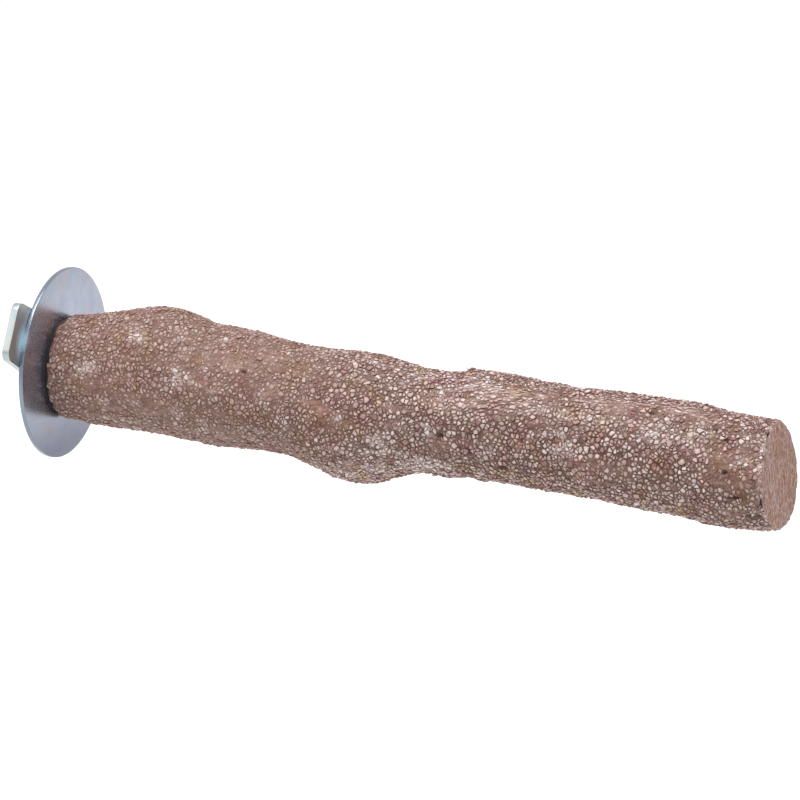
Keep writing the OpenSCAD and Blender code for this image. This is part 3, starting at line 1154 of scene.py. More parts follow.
    def crest(self) -> tuple[np.ndarray, np.ndarray, np.ndarray, dict[str, slice]]:
        """Rows of points over the coating's full thickness, from its inside to the free end.

        Returns:
            The points in millimetres, each point's distance from the washer, its turn, and the
            rows of each stretch by name.
        """
        place = self.gauge.place
        turn = np.arange(self.columns) * 2 * math.pi / self.columns
        length = self.gauge.side_length(turn)
        inner = self.coat + self.core_gap
        edge, rim = self.edge(turn), self.rim_at(turn)
        core_end = length - self.coat * self.cap_share
        core_radius = self.gauge.radius(core_end, turn)
        made = {name: [] for name in ("inside", "edge", "side", "rim", "face")}
        for i in range(1, self.inner_end_rows):
            inset = core_radius - (core_radius - inner) * i / self.inner_end_rows
            made["inside"].append((place(core_end, turn, inset), core_end))
        for i in range(self.inner_rows):
            x = core_end + (edge - core_end) * i / (self.inner_rows - 1)
            made["inside"].append((place(x, turn, inner), x))
        for i in range(self.edge_rows):
            bend = math.pi / 2 * (i + 0.6) / (self.edge_rows + 0.6)
            x = edge + self.edge_length * (1 - math.cos(bend))
            made["edge"].append((place(x, turn, self.coat * (1 - math.sin(bend))), x))
        start = edge + self.edge_length
        for i in range(self.side_rows):
            x = start + (length - rim - start) * i / (self.side_rows - 1)
            made["side"].append((place(x, turn), x))
        for i in range(1, self.rim_rows + 1):
            bend = math.pi / 2 * i / self.rim_rows
            points = place(length, turn, rim * (1 - math.cos(bend)))
            points[:, 0] = self.gauge.face_x(points) - rim * (1 - math.sin(bend))
            made["rim"].append((points, length - rim * (1 - math.sin(bend))))
        radius = self.gauge.radius(length, turn)
        for i in range(1, self.face_rows):
            points = place(length, turn, radius - (radius - rim) * (1 - i / self.face_rows))
            points[:, 0] = self.gauge.face_x(points)
            made["face"].append((points, length))
        rows, xs, spans = [], [], {}
        for name, stretch in made.items():
            spans[name] = slice(len(rows), len(rows) + len(stretch))
            for points, x in stretch:
                rows.append(points)
                xs.append(np.broadcast_to(x, turn.shape))
        turns = np.broadcast_to(turn, (len(rows), self.columns))
        return np.array(rows), np.array(xs), turns, spans

    def crest_normals(self, points: np.ndarray, spans: dict[str, slice]) -> np.ndarray:
        """The way out of the coating at each point of its crest.

        Args:
            points: the crest's rows.
            spans: the rows of each stretch by name.

        Returns:
            One unit vector a point.
        """
        along = np.gradient(points, axis=0)
        around = np.roll(points, -1, 1) - np.roll(points, 1, 1)
        normal = np.cross(along, around)
        normal /= np.linalg.norm(normal, axis=-1, keepdims=True) + 1e-12
        side = points[spans["side"]]
        radial = side - side.mean(1, keepdims=True)
        if np.einsum("ijk,ijk->", normal[spans["side"]], radial) < 0:
            normal = -normal
        plane = self.gauge.end_plane
        flat = np.array([1.0, -plane[1], -plane[2]])
        normal[spans["face"]] = flat / np.linalg.norm(flat)
        return normal

    def skin(self) -> bpy.types.Object:
        """Builds the resin skin between and under the chips.

        Returns:
            The piece, with its zones stored for the material to read.
        """
        points, x, turn, spans = self.crest()
        normal = self.crest_normals(points, spans)
        found = self.zones(x, turn)
        fine = grain(points, Grain.GRIT)
        ripple = grain(points, Grain.RIPPLE)
        lines = grain(points, Grain.LINES)
        sawn = np.zeros_like(x)
        sawn[spans["face"]] = 1
        rim_steps = np.linspace(0, 1, self.rim_rows + 1)[1:, None]
        sawn[spans["rim"]] = np.clip((rim_steps - 0.45) / 0.35, 0, 1)
        side = 1 - sawn
        length = self.gauge.side_length(turn[0])
        near_end = np.clip((x - length + self.rim_band) / self.rim_band_edge, 0, 1) * side
        bare, streak = found[Zone.BARE], found[Zone.STREAK]
        # The pits' share, which the binder paints near-black as their shade
        pit_shade = np.clip(found[Zone.PIT] * 1.2 * side, 0, 1)
        rubbed = near_end * (0.8 + 1.3 * grain(points, Grain.RIM_CHALK))
        chalk = np.clip(np.maximum(found[Zone.CHALK] * side, rubbed), 0, 1.8)
        depth = self.binder_depth - self.cage_rise * (1 - self.crisp(x))
        depth += (self.bare_depth - depth) * bare
        depth += (self.streak_depth - depth) * np.clip(streak, 0, 1)
        depth += (self.rim_depth - depth) * near_end * 0.85
        depth += (self.ripple * ripple + self.grit * fine * (1 - 0.5 * bare)
                  + self.line * lines * streak)
        depth += self.rim_grit * fine * near_end
        face_depth = self.face_depth + self.face_ripple * ripple + self.face_grit * fine
        depth = depth * side + face_depth * sawn
        depth = np.maximum(depth, self.least_depth) + self.pit_depth * found[Zone.PIT] * side
        depth[spans["edge"]] *= np.linspace(0.1, 0.9, self.edge_rows)[:, None]
        depth[spans["inside"]] = 0
        depth = np.minimum(depth, self.coat * self.deepest_share)
        lumps = self.lumps(points) * side
        lumps[:spans["edge"].stop] = 0
        points = points - normal * (depth - lumps)[..., None]
        poles = np.array([points[0].mean(0), points[-1].mean(0)])
        piece, order = shell_on_rows("grit_skin", points * MM, poles * MM)
        values = {"bare": bare, "chalk": chalk, "streak": streak, "pit_shade": pit_shade, "sawn": sawn}
        for name, table in values.items():
            set_attribute(piece, name, table.reshape(-1)[order])
        return piece

    def seeds(self) -> tuple[np.ndarray, np.ndarray]:
        """Scatters the chips' middles over the side and the rim.

        Returns:
            Distances from the washer and turns in radians.
        """
        rng = np.random.default_rng(self.seed + 1)
        xs, turns = [], []
        x = self.edge_start + self.chip_margin
        odd = 0.0
        while x < self.gauge.table_end - 1:
            around = float(self.gauge.radius(np.full(8, x), np.arange(8.0)).mean())
            count = int(round(2 * math.pi * around / self.chip_pitch))
            step = 2 * math.pi / count
            turn = (np.arange(count) + odd) * step
            turns.append(turn + rng.uniform(-1, 1, count) * self.chip_jitter * step)
            xs.append(x + rng.uniform(-1, 1, count) * self.chip_jitter * self.chip_pitch)
            x += self.chip_pitch * math.sqrt(0.75)
            odd = 0.5 - odd
        xs, turns = np.concatenate(xs), np.concatenate(turns)
        limit = self.gauge.side_length(turns)
        keep = (xs > self.edge(turns) + self.lip_margin) & (xs < limit - self.chip_margin)
        coarse = grain(self.gauge.place(xs, turns), Grain.THINNING)
        keep &= rng.uniform(size=len(xs)) > self.thin_share + self.thin_drift * coarse
        return xs[keep], turns[keep]

    def bed(self) -> ChipBed:
        """Finds each chip's middle on the coating, and the plane that it lies in.

        Returns:
            The chips' middles, planes and zones.
        """
        x, turn = self.seeds()
        limit = self.gauge.side_length(turn)
        rim_radius = self.rim_at(turn)
        back = np.clip(rim_radius - (limit - x), 0, rim_radius)
        bend = np.arcsin(np.clip(back / rim_radius, 0, 1))
        inset = rim_radius * (1 - np.cos(bend))
        lip = np.clip((self.edge(turn) + self.edge_length - x) / self.edge_length, 0, 1)
        inset = inset + self.coat * (1 - np.sqrt(1 - lip ** 2))
        inset = inset - self.lumps(self.gauge.place(x, turn)) * (1 - lip)
        middle = self.gauge.place(x, turn, inset)
        ahead = self.gauge.place(x + AHEAD, turn, inset)
        aside = self.gauge.place(x, turn + ASIDE, inset)
        normal = np.cross(ahead - middle, aside - middle)
        normal /= np.linalg.norm(normal, axis=1, keepdims=True)
        out = np.stack([np.zeros_like(x), -np.sin(turn), np.cos(turn)], 1)
        normal *= np.sign(np.einsum("ij,ij->i", normal, out))[:, None]
        # Chips on the rim lean towards the free end, and those on the lip towards the cage
        lean = np.sin(bend * 0.8) - np.sin(np.arcsin(lip) * 0.7)
        normal = normal * np.sqrt(1 - np.clip(lean, -0.9, 0.9) ** 2)[:, None]
        normal[:, 0] += lean
        normal /= np.linalg.norm(normal, axis=1, keepdims=True)
        first = np.array([1.0, 0, 0]) - normal * normal[:, :1]
        first /= np.linalg.norm(first, axis=1, keepdims=True)
        return ChipBed(x, turn, limit, middle, first, np.cross(normal, first), normal,
                       self.zones(x, turn))

    def cuts(self, bed: ChipBed, rng: np.random.Generator) -> tuple[np.ndarray, np.ndarray]:
        """Finds the straight cuts that bound each chip, in its own plane.

        Args:
            bed: the chips' places.
            rng: the source of the random numbers.

        Returns:
            For each chip the ways that its cuts face, and how far each is from its middle.
        """
        count = len(bed.x)
        tree = kdtree.KDTree(count)
        for i, p in enumerate(bed.middle):
            tree.insert(p, i)
        tree.balance()
        near = np.array([[hit[1] for hit in tree.find_n(p, self.neighbours + 1)[1:]]
                         for p in bed.middle])
        offset = bed.middle[near] - bed.middle[:, None]
        u = np.einsum("ijk,ik->ij", offset, bed.first)
        v = np.einsum("ijk,ik->ij", offset, bed.second)
        weight = np.exp(np.clip(rng.normal(0, self.chip_spread, count), -0.8, 0.8))
        share = weight[:, None] / (weight[:, None] + weight[near])
        cut = np.maximum(np.hypot(u, v) * share - self.chip_gap / 2, self.chip_least)
        size = (count, self.breaks)
        turned = (np.arange(self.breaks) + rng.uniform(0, 0.9, size)) * 2 * math.pi / self.breaks
        broken = self.chip_reach * rng.uniform(0.7, 1.15, size)
        return (np.concatenate([np.arctan2(v, u), turned], 1),
                np.concatenate([cut, broken], 1))

    def outlines(self, bed: ChipBed, rng: np.random.Generator) -> np.ndarray:
        """Cuts each chip's outline where its neighbours end, and breaks it where none is near.

        Args:
            bed: the chips' places.
            rng: the source of the random numbers.

        Returns:
            Each chip's corners in its own plane, in millimetres.
        """
        count = len(bed.x)
        ways, edges = self.cuts(bed, rng)
        # Looking out from the middle all round, the nearest cut is the one that bounds the chip
        looks = np.arange(self.looks) * math.pi / (self.looks // 2)
        which = np.empty((count, self.looks), int)
        for start in range(0, count, 2000):
            part = slice(start, start + 2000)
            facing = np.cos(looks[None, :, None] - ways[part, None, :])
            reach = edges[part, None, :] / np.maximum(facing, 0.05)
            which[part] = np.where(facing > 0.05, reach, OUT_OF_REACH).argmin(2)
        # A corner is where one bounding cut gives way to the next, unless they are in line
        after = np.roll(which, -1, 1)
        chip, look = np.nonzero(which != after)
        a, b = ways[chip, which[chip, look]], ways[chip, after[chip, look]]
        d, e = edges[chip, which[chip, look]], edges[chip, after[chip, look]]
        across = np.sin(b - a)
        clear = np.abs(across) > 0.12
        chip, a, b, d, e, across = (row[clear] for row in (chip, a, b, d, e, across))
        corners = np.stack([d * np.sin(b) - e * np.sin(a), e * np.cos(a) - d * np.cos(b)], 1)
        corners /= across[:, None]
        corners *= np.minimum(1, self.chip_most / np.hypot(*corners.T))[:, None]
        starts = np.searchsorted(chip, np.arange(count + 1))
        shapes = np.array([fit_corners(corners[starts[i]:starts[i + 1]].tolist(),
                                       self.chip_corners) for i in range(count)])
        # Crushing and tumbling wear the sharpest corners back
        far = np.hypot(shapes[..., 0], shapes[..., 1])
        least, most = (self.chip_worn + spread for spread in self.worn_spread)
        limit = far.mean(1, keepdims=True) * rng.uniform(least, most, far.shape)
        shapes *= np.minimum(1, limit / far)[..., None]
        crumbs = 1 - 0.35 * np.clip((bed.x - bed.limit + 2.0) / 0.4, 0, 1)
        return shapes * crumbs[:, None, None] * rng.uniform(*self.size_shares, (count, 1, 1))

    def chip_points(self, bed: ChipBed, rng: np.random.Generator) -> np.ndarray:
        """Stands each chip in the resin: three rings of corners and the crown of its top.

        Args:
            bed: the chips' places.
            rng: the source of the random numbers.

        Returns:
            Each chip's points in millimetres.
        """
        count = len(bed.x)
        streak = np.clip(bed.found[Zone.STREAK] * 1.4, 0, 1)
        corners = self.outlines(bed, rng)
        size = np.hypot(corners[..., 0], corners[..., 1]).mean(1)
        # Where the grain shows, the chips are drawn out along it
        stretch = 1 + 0.4 * streak[:, None]
        lean = rng.normal(*self.lean, (count, 1)) * streak[:, None]
        cx, cy = corners[..., 0] * stretch, corners[..., 1] / stretch ** 1.4
        cx, cy = cx * np.cos(lean) - cy * np.sin(lean), cx * np.sin(lean) + cy * np.cos(lean)
        top = rng.uniform(*self.chip_tops, count)
        top = top - self.bare_sink * np.clip(bed.found[Zone.BARE], 0, 1)
        top -= self.streak_sink * streak
        # Larger chips stand a little higher
        top += np.clip((size - 0.6) * 0.2, -0.06, 0.08)
        top += self.rim_rise * np.clip((bed.x - bed.limit + 1.6) / 0.4, 0, 1)
        slope = rng.normal(0, self.slope, (count, 2))
        shoulder = rng.uniform(*self.shoulder_shares, (count, 1))
        shape = []
        for scale, drop, rough in ((0.9, self.chip_root, 0.0),
                                   (1.0, self.chip_brow, self.brow_rough),
                                   (shoulder, self.chip_shoulder, self.shoulder_rough)):
            px, py = cx * scale, cy * scale
            height = top[:, None] - drop + slope[:, :1] * px + slope[:, 1:] * py
            height = height + rng.normal(0, 1, px.shape) * rough
            shape.append((px, py, np.minimum(height, self.chip_proudest)))
        px = rng.normal(0, self.crown_shift, (count, 1))
        py = rng.normal(0, self.crown_shift, (count, 1))
        shape.append((px, py, top[:, None] + self.crown))
        table = np.concatenate([
            bed.middle[:, None] + bed.first[:, None] * px[..., None]
            + bed.second[:, None] * py[..., None] + bed.normal[:, None] * height[..., None]
            for px, py, height in shape], 1)
        furthest = self.gauge.face_x(table) - self.face_clearance
        table[..., 0] = np.minimum(table[..., 0], furthest)
        return table

    def chip_faces(self) -> list[tuple[int, ...]]:
        """Lists one chip's faces: a bottom, two rings and a top.

        Returns:
            Each face as the numbers of its points, counted from the chip's first.
        """
        n = self.chip_corners
        faces = [tuple(range(n - 1, -1, -1))]
        for ring in range(2):
            for k in range(n):
                a, b = ring * n + k, ring * n + (k + 1) % n
                faces.append((a, b, b + n, a + n))
        return faces + [(2 * n + k, 2 * n + (k + 1) % n, 3 * n) for k in range(n)]

    def chip_looks(self, bed: ChipBed, rng: np.random.Generator) -> dict[str, np.ndarray]:
        """How light, how white and how soaked in resin each chip is, with painted shade on its
        sides.

        Args:
            bed: the chips' places.
            rng: the source of the random numbers.

        Returns:
            For each of the three one row a chip and one column a point.
        """
        count, n = len(bed.x), self.chip_corners
        bare, chalk = bed.found[Zone.BARE], bed.found[Zone.CHALK]
        # The far half is crisper and lighter than the cage half, where the resin stands higher
        crisp = self.crisp(bed.x)
        rim = np.clip((bed.x - bed.limit + 2.6) / 1.4, 0, 1)
        shade = rng.normal(0.28 + 0.42 * crisp, 0.12 + 0.1 * crisp, count)
        shade = np.clip(shade + 0.15 * chalk + 0.25 * rim, 0, 1)
        white = np.clip(chalk * rng.uniform(0.1, 2.2, count), 0, 1) * (0.65 + 0.35 * crisp)
        lone = rng.uniform(size=count) < 0.006 + 0.034 * crisp
        white = np.where(lone, np.maximum(white, 0.5), white)
        white = np.maximum(white, rim * rng.uniform(-0.3, 0.7, count))
        drift = grain(bed.middle, Grain.SOAKING)
        ending = np.clip((bed.x - 183) / 8, 0, 1) * (1 - rim)
        soaked = rng.uniform(-0.35, 0.8, count) - 0.25 * (1 - crisp) + 0.7 * bare + 0.14 * drift
        soaked = soaked - 0.5 * chalk - 0.4 * np.clip(bed.found[Zone.STREAK] * 1.4, 0, 1)
        soaked = np.clip(soaked + 0.12 * ending, 0, 0.94)
        # Resin covers the root, half of the sides and hardly any of the top; this darkening of
        # the sides is partly painted shade between the chips
        unstained_and_lit = np.concatenate([np.zeros(n), np.full(n, 0.5), np.full(n, 0.95), np.ones(1)])
        rows = np.ones(len(unstained_and_lit))
        return {"shade": shade[:, None] * rows, "chalk": white[:, None] * rows,
                "stain_and_shade": 1 - (1 - soaked[:, None]) * unstained_and_lit}

    def chips(self) -> list[bpy.types.Object]:
        """Builds the chips, each cut to fit between its neighbours, in four lengths of branch.

        Each chip differs from every other, so their points are laid out together as tables.

        Returns:
            The four pieces.
        """
        rng = np.random.default_rng(self.seed + 2)
        bed = self.bed()
        bare = np.clip(bed.found[Zone.BARE] * 1.4 - 0.4, 0, 1)
        stays = rng.uniform(size=len(bed.x)) > self.missing_share + self.bare_missing_share * bare
        stays &= bed.found[Zone.PIT] < 0.25
        table = self.chip_points(bed, rng)
        looks = self.chip_looks(bed, rng)
        lengths = np.clip((bed.x / self.piece_length).astype(int), 0, len(CHIP_PIECES) - 1)
        made = []
        for number, name in enumerate(CHIP_PIECES):
            chosen = np.flatnonzero(stays & (lengths == number))
            values = {key: rows[chosen].ravel() for key, rows in looks.items()}
            made.append(self.chip_piece(name, table[chosen] * MM, values))
        return made

    def chip_piece(self, name: str, table: np.ndarray,
                   values: dict[str, np.ndarray]) -> bpy.types.Object:
        """Makes one piece of many chips.

        Args:
            name: the piece's name.
            table: each chip's points in metres.
            values: the attributes' values.

        Returns:
            The new object.
        """
        count, points = table.shape[:2]
        faces = self.chip_faces()
        starts = range(0, count * points, points)
        every = [tuple(start + k for k in face) for start in starts for face in faces]
        mesh = bpy.data.meshes.new(name)
        mesh.from_pydata(table.reshape(-1, 3), [], every)
        mesh.update()
        piece = bpy.data.objects.new(name, mesh)
        bpy.context.scene.collection.objects.link(piece)
        for key, numbers in values.items():
            set_attribute(piece, key, numbers)
        return piece

    def build(self) -> list[bpy.types.Object]:
        """Builds the skin and the chips, and dresses the core.

        Returns:
            The new pieces.
        """
        skin = self.skin()
        select_only(skin)
        bpy.ops.object.shade_smooth()
        skin.data.materials.clear()
        skin.data.materials.append(ResinBinder().material())
        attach(skin, "perch")
        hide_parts("grit_coating")
        stone = CrushedMineral().material()
        chips = self.chips()
        for piece in chips:
            piece.data.materials.append(stone)
            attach(piece, "perch")
        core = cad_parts["branch_core"]
        core.data.materials.clear()
        core.data.materials.append(SawnWood().material())
        return [skin, *chips]


# The clamp's metal pieces

@dataclass
class HangerBolt:
    """The double-ended bolt: a machine thread towards the cage, a wood thread in the branch."""

    radius: float = 3.175
    pitch: float = 1.27
    out: float = 14.0
    tip: float = 2.0
    tip_radius: float = 2.286
    tip_chamfer: float = 0.5
    root_share: float = 0.785
    shank: float = 2.8
    shank_share: float = 0.87
    screw: float = 28.0
    screw_pitch: float = 2.8
    screw_root_share: float = 0.7
    point: float = 8.4
    blunt: float = 0.15
    shoulder: float = 0.06
    edge: float = 0.02
    flats: tuple[float, float] = (0.12, 0.14)
    screw_flats: tuple[float, float] = (0.08, 0.52)
    columns: int = 48
    rows_a_turn: int = 12

    def thread(self, x: np.ndarray, turn: np.ndarray, pitch: float, crest: float,
               root: float) -> np.ndarray:
        """Height of a right-handed thread, from 0 at its root to 1 at its crest.

        Args:
            x: distances along the bolt.
            turn: turns round +X in radians.
            pitch: the thread's pitch.
            crest: the crest's flat, as a share of the pitch.
            root: the root's flat, as a share of the pitch.

        Returns:
            One height a place.
        """
        phase = (x / pitch - turn / (2 * math.pi)) % 1.0
        away = np.abs(phase - 0.5) * 2
        return np.clip((1 - root - away) / (1 - root - crest), 0, 1)

    def stations(self) -> np.ndarray:
        """Places the bolt's rings.

        Returns:
            Their distances along X in millimetres, from the wood thread's point to the tip.
        """
        body = self.out - self.tip - self.tip_chamfer
        wood = np.arange(self.screw - self.blunt, self.shank,
                         -self.screw_pitch / self.rows_a_turn)
        plain = np.linspace(self.shank, 0.0, 4)
        machine = np.arange(-self.pitch / self.rows_a_turn, -body,
                            -self.pitch / self.rows_a_turn)
        tip = np.array([-body, -body - self.shoulder, -self.out + self.tip_chamfer,
                        -self.out + self.edge, -self.out])
        return np.concatenate([wood, plain, machine, tip])

    def build(self) -> bpy.types.Object:
        """Builds the bolt and its plating.

        Returns:
            The piece hanger_bolt_threaded.
        """
        xs = self.stations()
        turn = np.arange(self.columns) * 2 * math.pi / self.columns
        x, a = np.meshgrid(xs, turn, indexing="ij")
        body = self.out - self.tip - self.tip_chamfer
        root = self.radius * self.root_share
        fade = np.clip(-x / self.pitch, 0, 1) * np.clip((x + body) / self.pitch + 0.05, 0, 1)
        thread = self.thread(x, a, self.pitch, *self.flats)
        machine = root + (self.radius - root) * fade * thread
        wood_root = self.radius * self.screw_root_share
        taper = np.clip((self.screw - x) / self.point, 0, 1) ** 0.8
        core = wood_root * taper
        rise = np.clip((x - self.shank) / self.screw_pitch, 0, 1) * np.clip(taper * 1.6, 0, 1)
        high = self.radius * np.clip(taper * 1.5, 0, 1)
        thread = self.thread(x, a, self.screw_pitch, *self.screw_flats)
        wood = core + np.maximum(high - core, 0) * rise * thread
        r = np.where(x > 0, self.radius * self.shank_share, machine)
        r = np.where(x > self.shank, wood, r)
        r = np.where(x <= -body, self.tip_radius, r)
        chamfered = self.tip_radius - self.tip_chamfer
        r = np.where(x <= -self.out + self.edge * 1.05, chamfered, r)
        r = np.where(x <= -self.out, chamfered - self.edge, r)
        rows = np.stack([x, r * np.cos(a), r * np.sin(a)], -1) * MM
        poles = np.array([[self.screw, 0, 0], [-self.out, 0, 0]]) * MM
        piece, _ = shell_on_rows("hanger_bolt_threaded", rows, poles)
        select_only(piece)
        bpy.ops.object.shade_smooth_by_angle(angle=math.radians(28))
        dress_metal(piece, "perch", "hanger_bolt",
                    ZincPlate(name="zinc_plated_bolt", silver="#c9ccd0", roughness=0.27,
                              rub_along=(1.0, 3.0, 3.0)))
        return piece


@dataclass
class FenderWasher:
    """The large flat washer, stamped from plated sheet with a rolled front edge."""

    diameter: float = 49.98
    thickness: float = 1.2
    hole: float = 7.15
    rolled: float = 0.2
    segments: int = 240

    def build(self) -> bpy.types.Object:
        """Builds the washer from a circle that is inset to the hole and extruded.

        Returns:
            The piece fender_washer_stamped.
        """
        deselect_all()
        bpy.ops.mesh.primitive_circle_add(
            vertices=self.segments, radius=self.diameter / 2 * MM, fill_type="NOTHING",
            location=(0, 0, 0), rotation=(0, math.pi / 2, 0))
        piece = bpy.context.active_object
        piece.name = piece.data.name = "fender_washer_stamped"
        bpy.ops.object.transform_apply(location=True, rotation=True, scale=True)
        bpy.ops.object.mode_set(mode="EDIT")
        bpy.ops.mesh.select_all(action="SELECT")
        bpy.ops.mesh.extrude_edges_move()
        share = self.hole / self.diameter
        bpy.ops.transform.resize(value=(1, share, share))
        bpy.ops.mesh.select_all(action="SELECT")
        bpy.ops.mesh.extrude_region_move(
            TRANSFORM_OT_translate={"value": (-self.thickness * MM, 0, 0)})
        bpy.ops.mesh.select_all(action="SELECT")
        bpy.ops.mesh.normals_make_consistent(inside=False)
        bpy.ops.object.mode_set(mode="OBJECT")
        apply_modifier(piece, "BEVEL", width=self.rolled * MM, segments=4,
                       limit_method="ANGLE", angle_limit=math.radians(50))
        select_only(piece)
        bpy.ops.object.shade_smooth_by_angle(angle=math.radians(30))
        # The washer's darker lower part and blue spot are painted shade and a painted highlight;
        # its dull rim is partly sheared steel, partly painted shade
        dress_metal(piece, "washer", "fender_washer",
                    ZincPlate(name="zinc_plated_washer", metallic=0.87, roughness=0.25,
                              lower_shade_mm=(-4.0, -22.0), sheared_rim_and_shade_mm=24.7,
                              glint_mm=(-2.8, -23.0, 12.2)))
        return piece


@dataclass
class WingNut:
    """The pressed wing nut: two flat ears and a drawn, threaded collar."""

    span: float = 62.38
    ear_width: float = 15.5
    ear_swell: float = 0.06
    ear_widest: float = 0.52
    ear_thickness: float = 1.9
    corner: float = 2.6
    corner_sides: int = 48
    collar_sides: int = 96
    root: float = 7.13
    collar: float = 11.5
    height: float = 5.8
    bore: float = 6.45
    turned: float = 30.0
    seat: float = -1.2
    edge: float = 0.42

    def ear(self, side: int) -> bpy.types.Object:
        """Builds one ear as the hull of four rounded corners and its root.

        Args:
            side: 1 for the ear along +Y, -1 for the other.

        Returns:
            The closed plate, drawn round the Z axis.
        """
        tip_y = (self.span / 2 - self.corner) * side
        tip_x = self.ear_width / 2 - self.corner
        wide_x = self.ear_width / 2 * (1 + self.ear_swell) - self.corner
        wide_y = self.span / 2 * self.ear_widest * side
        posts = [(0, 0, self.root / 2)]
        for hand in (-1, 1):
            posts += [(hand * tip_x, tip_y, self.corner), (hand * wide_x, wide_y, self.corner)]
        deselect_all()
        for i, (x, y, radius) in enumerate(posts):
            bpy.ops.mesh.primitive_cylinder_add(
                vertices=self.corner_sides, radius=radius * MM, depth=self.ear_thickness * MM,
                location=(x * MM, y * MM, self.ear_thickness / 2 * MM))
            if i == 0:
                piece = bpy.context.active_object
                bpy.ops.object.transform_apply(location=True, rotation=True, scale=True)
                bpy.ops.object.mode_set(mode="EDIT")
        bpy.ops.mesh.select_all(action="SELECT")
        bpy.ops.mesh.convex_hull()
        bpy.ops.mesh.select_all(action="SELECT")
        bpy.ops.mesh.dissolve_limited(angle_limit=math.radians(1))
        bpy.ops.mesh.normals_make_consistent(inside=False)
        bpy.ops.object.mode_set(mode="OBJECT")
        return piece

    def build(self) -> bpy.types.Object:
        """Builds the nut round the Z axis, then turns it onto the stud.

        Returns:
            The piece wing_nut_pressed.
        """
        piece = self.ear(1)
        piece.name = piece.data.name = "wing_nut_pressed"
        combine(piece, self.ear(-1), "UNION")
        for width, depth, how in ((self.collar, self.height, "UNION"),
                                  (self.bore, self.height * 2, "DIFFERENCE")):
            deselect_all()
            bpy.ops.mesh.primitive_cylinder_add(
                vertices=self.collar_sides, radius=width / 2 * MM, depth=depth * MM,
                location=(0, 0, self.height / 2 * MM))
            combine(piece, bpy.context.active_object, how)
        apply_modifier(piece, "BEVEL", width=self.edge * MM, segments=4,
                       limit_method="ANGLE", angle_limit=math.radians(50))
        select_only(piece)
        bpy.ops.object.shade_smooth_by_angle(angle=math.radians(32))
        piece.data.transform(Matrix.Translation((self.seat * MM, 0, 0))
                             @ Matrix.Rotation(-math.radians(self.turned), 4, "X")
                             @ Matrix.Rotation(-math.pi / 2, 4, "Y"))
        # The blue spot on the ear by the washer is a painted highlight
        dress_metal(piece, "nut", "wing_nut",
                    ZincPlate(name="zinc_plated_nut", silver="#b0b4b1", cloud="#9dadb8",
                              warm="#b3b5ae", glint_mm=(-1.0, -20.6, 10.4),
                              glint_reach_mm=6.0, seat_mm=-1.2, metallic=0.85,
                              roughness=0.32))
        return piece


def dress_metal(piece: bpy.types.Object, body: str, node: str,
                finish: ZincPlate) -> None:
    """Gives a metal piece its plating and its body, and hides the CAD part that it stands for.

    Args:
        piece: the finished piece.
        body: the CAD body that it moves with.
        node: the CAD node that it stands for.
        finish: its plating.
    """
    piece.data.materials.clear()
    piece.data.materials.append(finish.material())
    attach(piece, body)
    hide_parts(node)


# Camera, floor and light

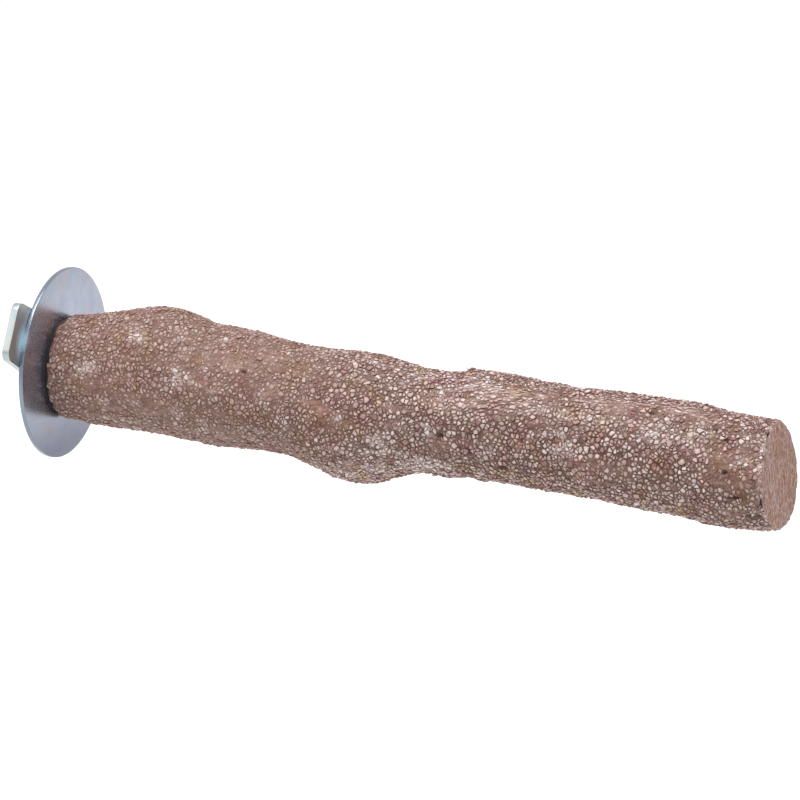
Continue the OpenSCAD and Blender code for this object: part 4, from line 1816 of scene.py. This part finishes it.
@dataclass
class Studio:
    """A pale floor and plain soft light, with the camera where the photograph was taken."""

    azimuth: float = 22.44
    elevation: float = 16.4
    distance: float = 1200.0
    target: tuple[float, float, float] = (94.4, 0.0, 0.4)
    lens: float = 212.76
    sensor: float = 36.0
    sight_m: float = 20.0
    floor_drop: float = 170.0
    floor_m: float = 12.0
    floor_lift: float = 0.5
    ambient: float = 0.36
    # Each lamp's name, its place in metres, its width in metres and its power in watts
    lamps: tuple[tuple[str, tuple[float, float, float], float, float], ...] = (
        ("top_softbox", (0.0, -0.3, 1.3), 1.0, 17.0),
        ("front_softbox", (-0.9, -1.2, 0.9), 0.8, 2.6))

    def camera(self) -> None:
        """Places the camera at the photograph's angle."""
        data = bpy.data.cameras.new("photo_camera")
        data.lens = self.lens
        data.sensor_width = self.sensor
        data.clip_end = self.sight_m
        camera = bpy.data.objects.new("photo_camera", data)
        bpy.context.scene.collection.objects.link(camera)
        az, el = math.radians(self.azimuth), math.radians(self.elevation)
        back = Vector((math.sin(az) * math.cos(el), -math.cos(az) * math.cos(el), math.sin(el)))
        camera.location = (Vector(self.target) + back * self.distance) * MM
        camera.rotation_euler = back.to_track_quat("Z", "Y").to_euler()
        bpy.context.scene.camera = camera

    def floor(self) -> None:
        """Lays the floor well under the perch, which hangs from its bolt in use."""
        deselect_all()
        bpy.ops.mesh.primitive_plane_add(size=self.floor_m,
                                         location=(0, 0, -self.floor_drop * MM))
        floor = bpy.context.active_object
        floor.name = "floor"
        bpy.ops.object.transform_apply(location=True, rotation=True, scale=True)
        # Matt white paper: pale, with a soft shadow, and clear to a camera that is under it
        material, tree = new_material("matt_white_paper")
        path = add_node(tree, "LightPath")
        paint = add_node(tree, "BsdfDiffuse", {"Color": "#f4f4f4"})
        seen = add_node(tree, "Math", {0: path.outputs["Is Camera Ray"],
                                       1: path.outputs["Is Glossy Ray"]}, operation="MAXIMUM")
        lift = add_node(tree, "Math", {0: seen, 1: self.floor_lift}, operation="MULTIPLY")
        glow = add_node(tree, "Emission", {"Color": "#ffffff", "Strength": lift})
        both = add_node(tree, "AddShader", {0: paint, 1: glow})
        under = add_node(tree, "NewGeometry").outputs["Backfacing"]
        hidden = add_node(tree, "Math", {0: under, 1: path.outputs["Is Camera Ray"]},
                          operation="MULTIPLY")
        clear = add_node(tree, "BsdfTransparent")
        out = add_node(tree, "MixShader", {"Fac": hidden, 1: both, 2: clear})
        add_node(tree, "OutputMaterial", {"Surface": out})
        floor.data.materials.append(material)

    def world(self) -> None:
        """Makes the world white to the eye and to metal, and a soft light on all else."""
        world = bpy.data.worlds.new("white_room")
        world.use_nodes = True
        tree = world.node_tree
        tree.nodes.clear()
        path = add_node(tree, "LightPath")
        seen = add_node(tree, "Math", {0: path.outputs["Is Camera Ray"],
                                       1: path.outputs["Is Glossy Ray"]}, operation="MAXIMUM")
        level = add_node(tree, "MapRange", {"Value": seen, "To Min": self.ambient,
                                            "To Max": 1.0})
        sky = add_node(tree, "Background", {"Color": "#ffffff", "Strength": level})
        add_node(tree, "OutputWorld", {"Surface": sky})
        bpy.context.scene.world = world

    def lamp(self, name: str, place: tuple[float, float, float], size: float,
             power: float) -> None:
        """Adds one large soft lamp that faces the perch.

        Args:
            name: the lamp's name.
            place: where it hangs, in metres.
            size: its width in metres.
            power: its power in watts.
        """
        data = bpy.data.lights.new(name, "AREA")
        data.size = size
        data.energy = power
        lamp = bpy.data.objects.new(name, data)
        bpy.context.scene.collection.objects.link(lamp)
        lamp.location = place
        aim = Vector(place) - Vector(self.target) * MM
        lamp.rotation_euler = aim.to_track_quat("Z", "Y").to_euler()

    def build(self) -> None:
        """Sets the whole studio up."""
        self.camera()
        self.floor()
        self.world()
        for name, place, size, power in self.lamps:
            self.lamp(name, place, size, power)
        bpy.context.scene.view_settings.view_transform = "Standard"


def main() -> None:
    """Builds the perch piece by piece, then the studio."""
    logging.basicConfig(level=logging.INFO, format="%(name)s: %(message)s")
    gauge = CoatingGauge()
    LOG.info("free end plane %s", [round(float(v), 4) for v in gauge.end_plane])
    for piece in CoatedBranch(gauge).build():
        LOG.info("%s: %d faces", piece.name, len(piece.data.polygons))
    for part in (HangerBolt(), FenderWasher(), WingNut()):
        piece = part.build()
        LOG.info("%s: %d faces", piece.name, len(piece.data.polygons))
    Studio().build()


if __name__ == "__main__":
    main()
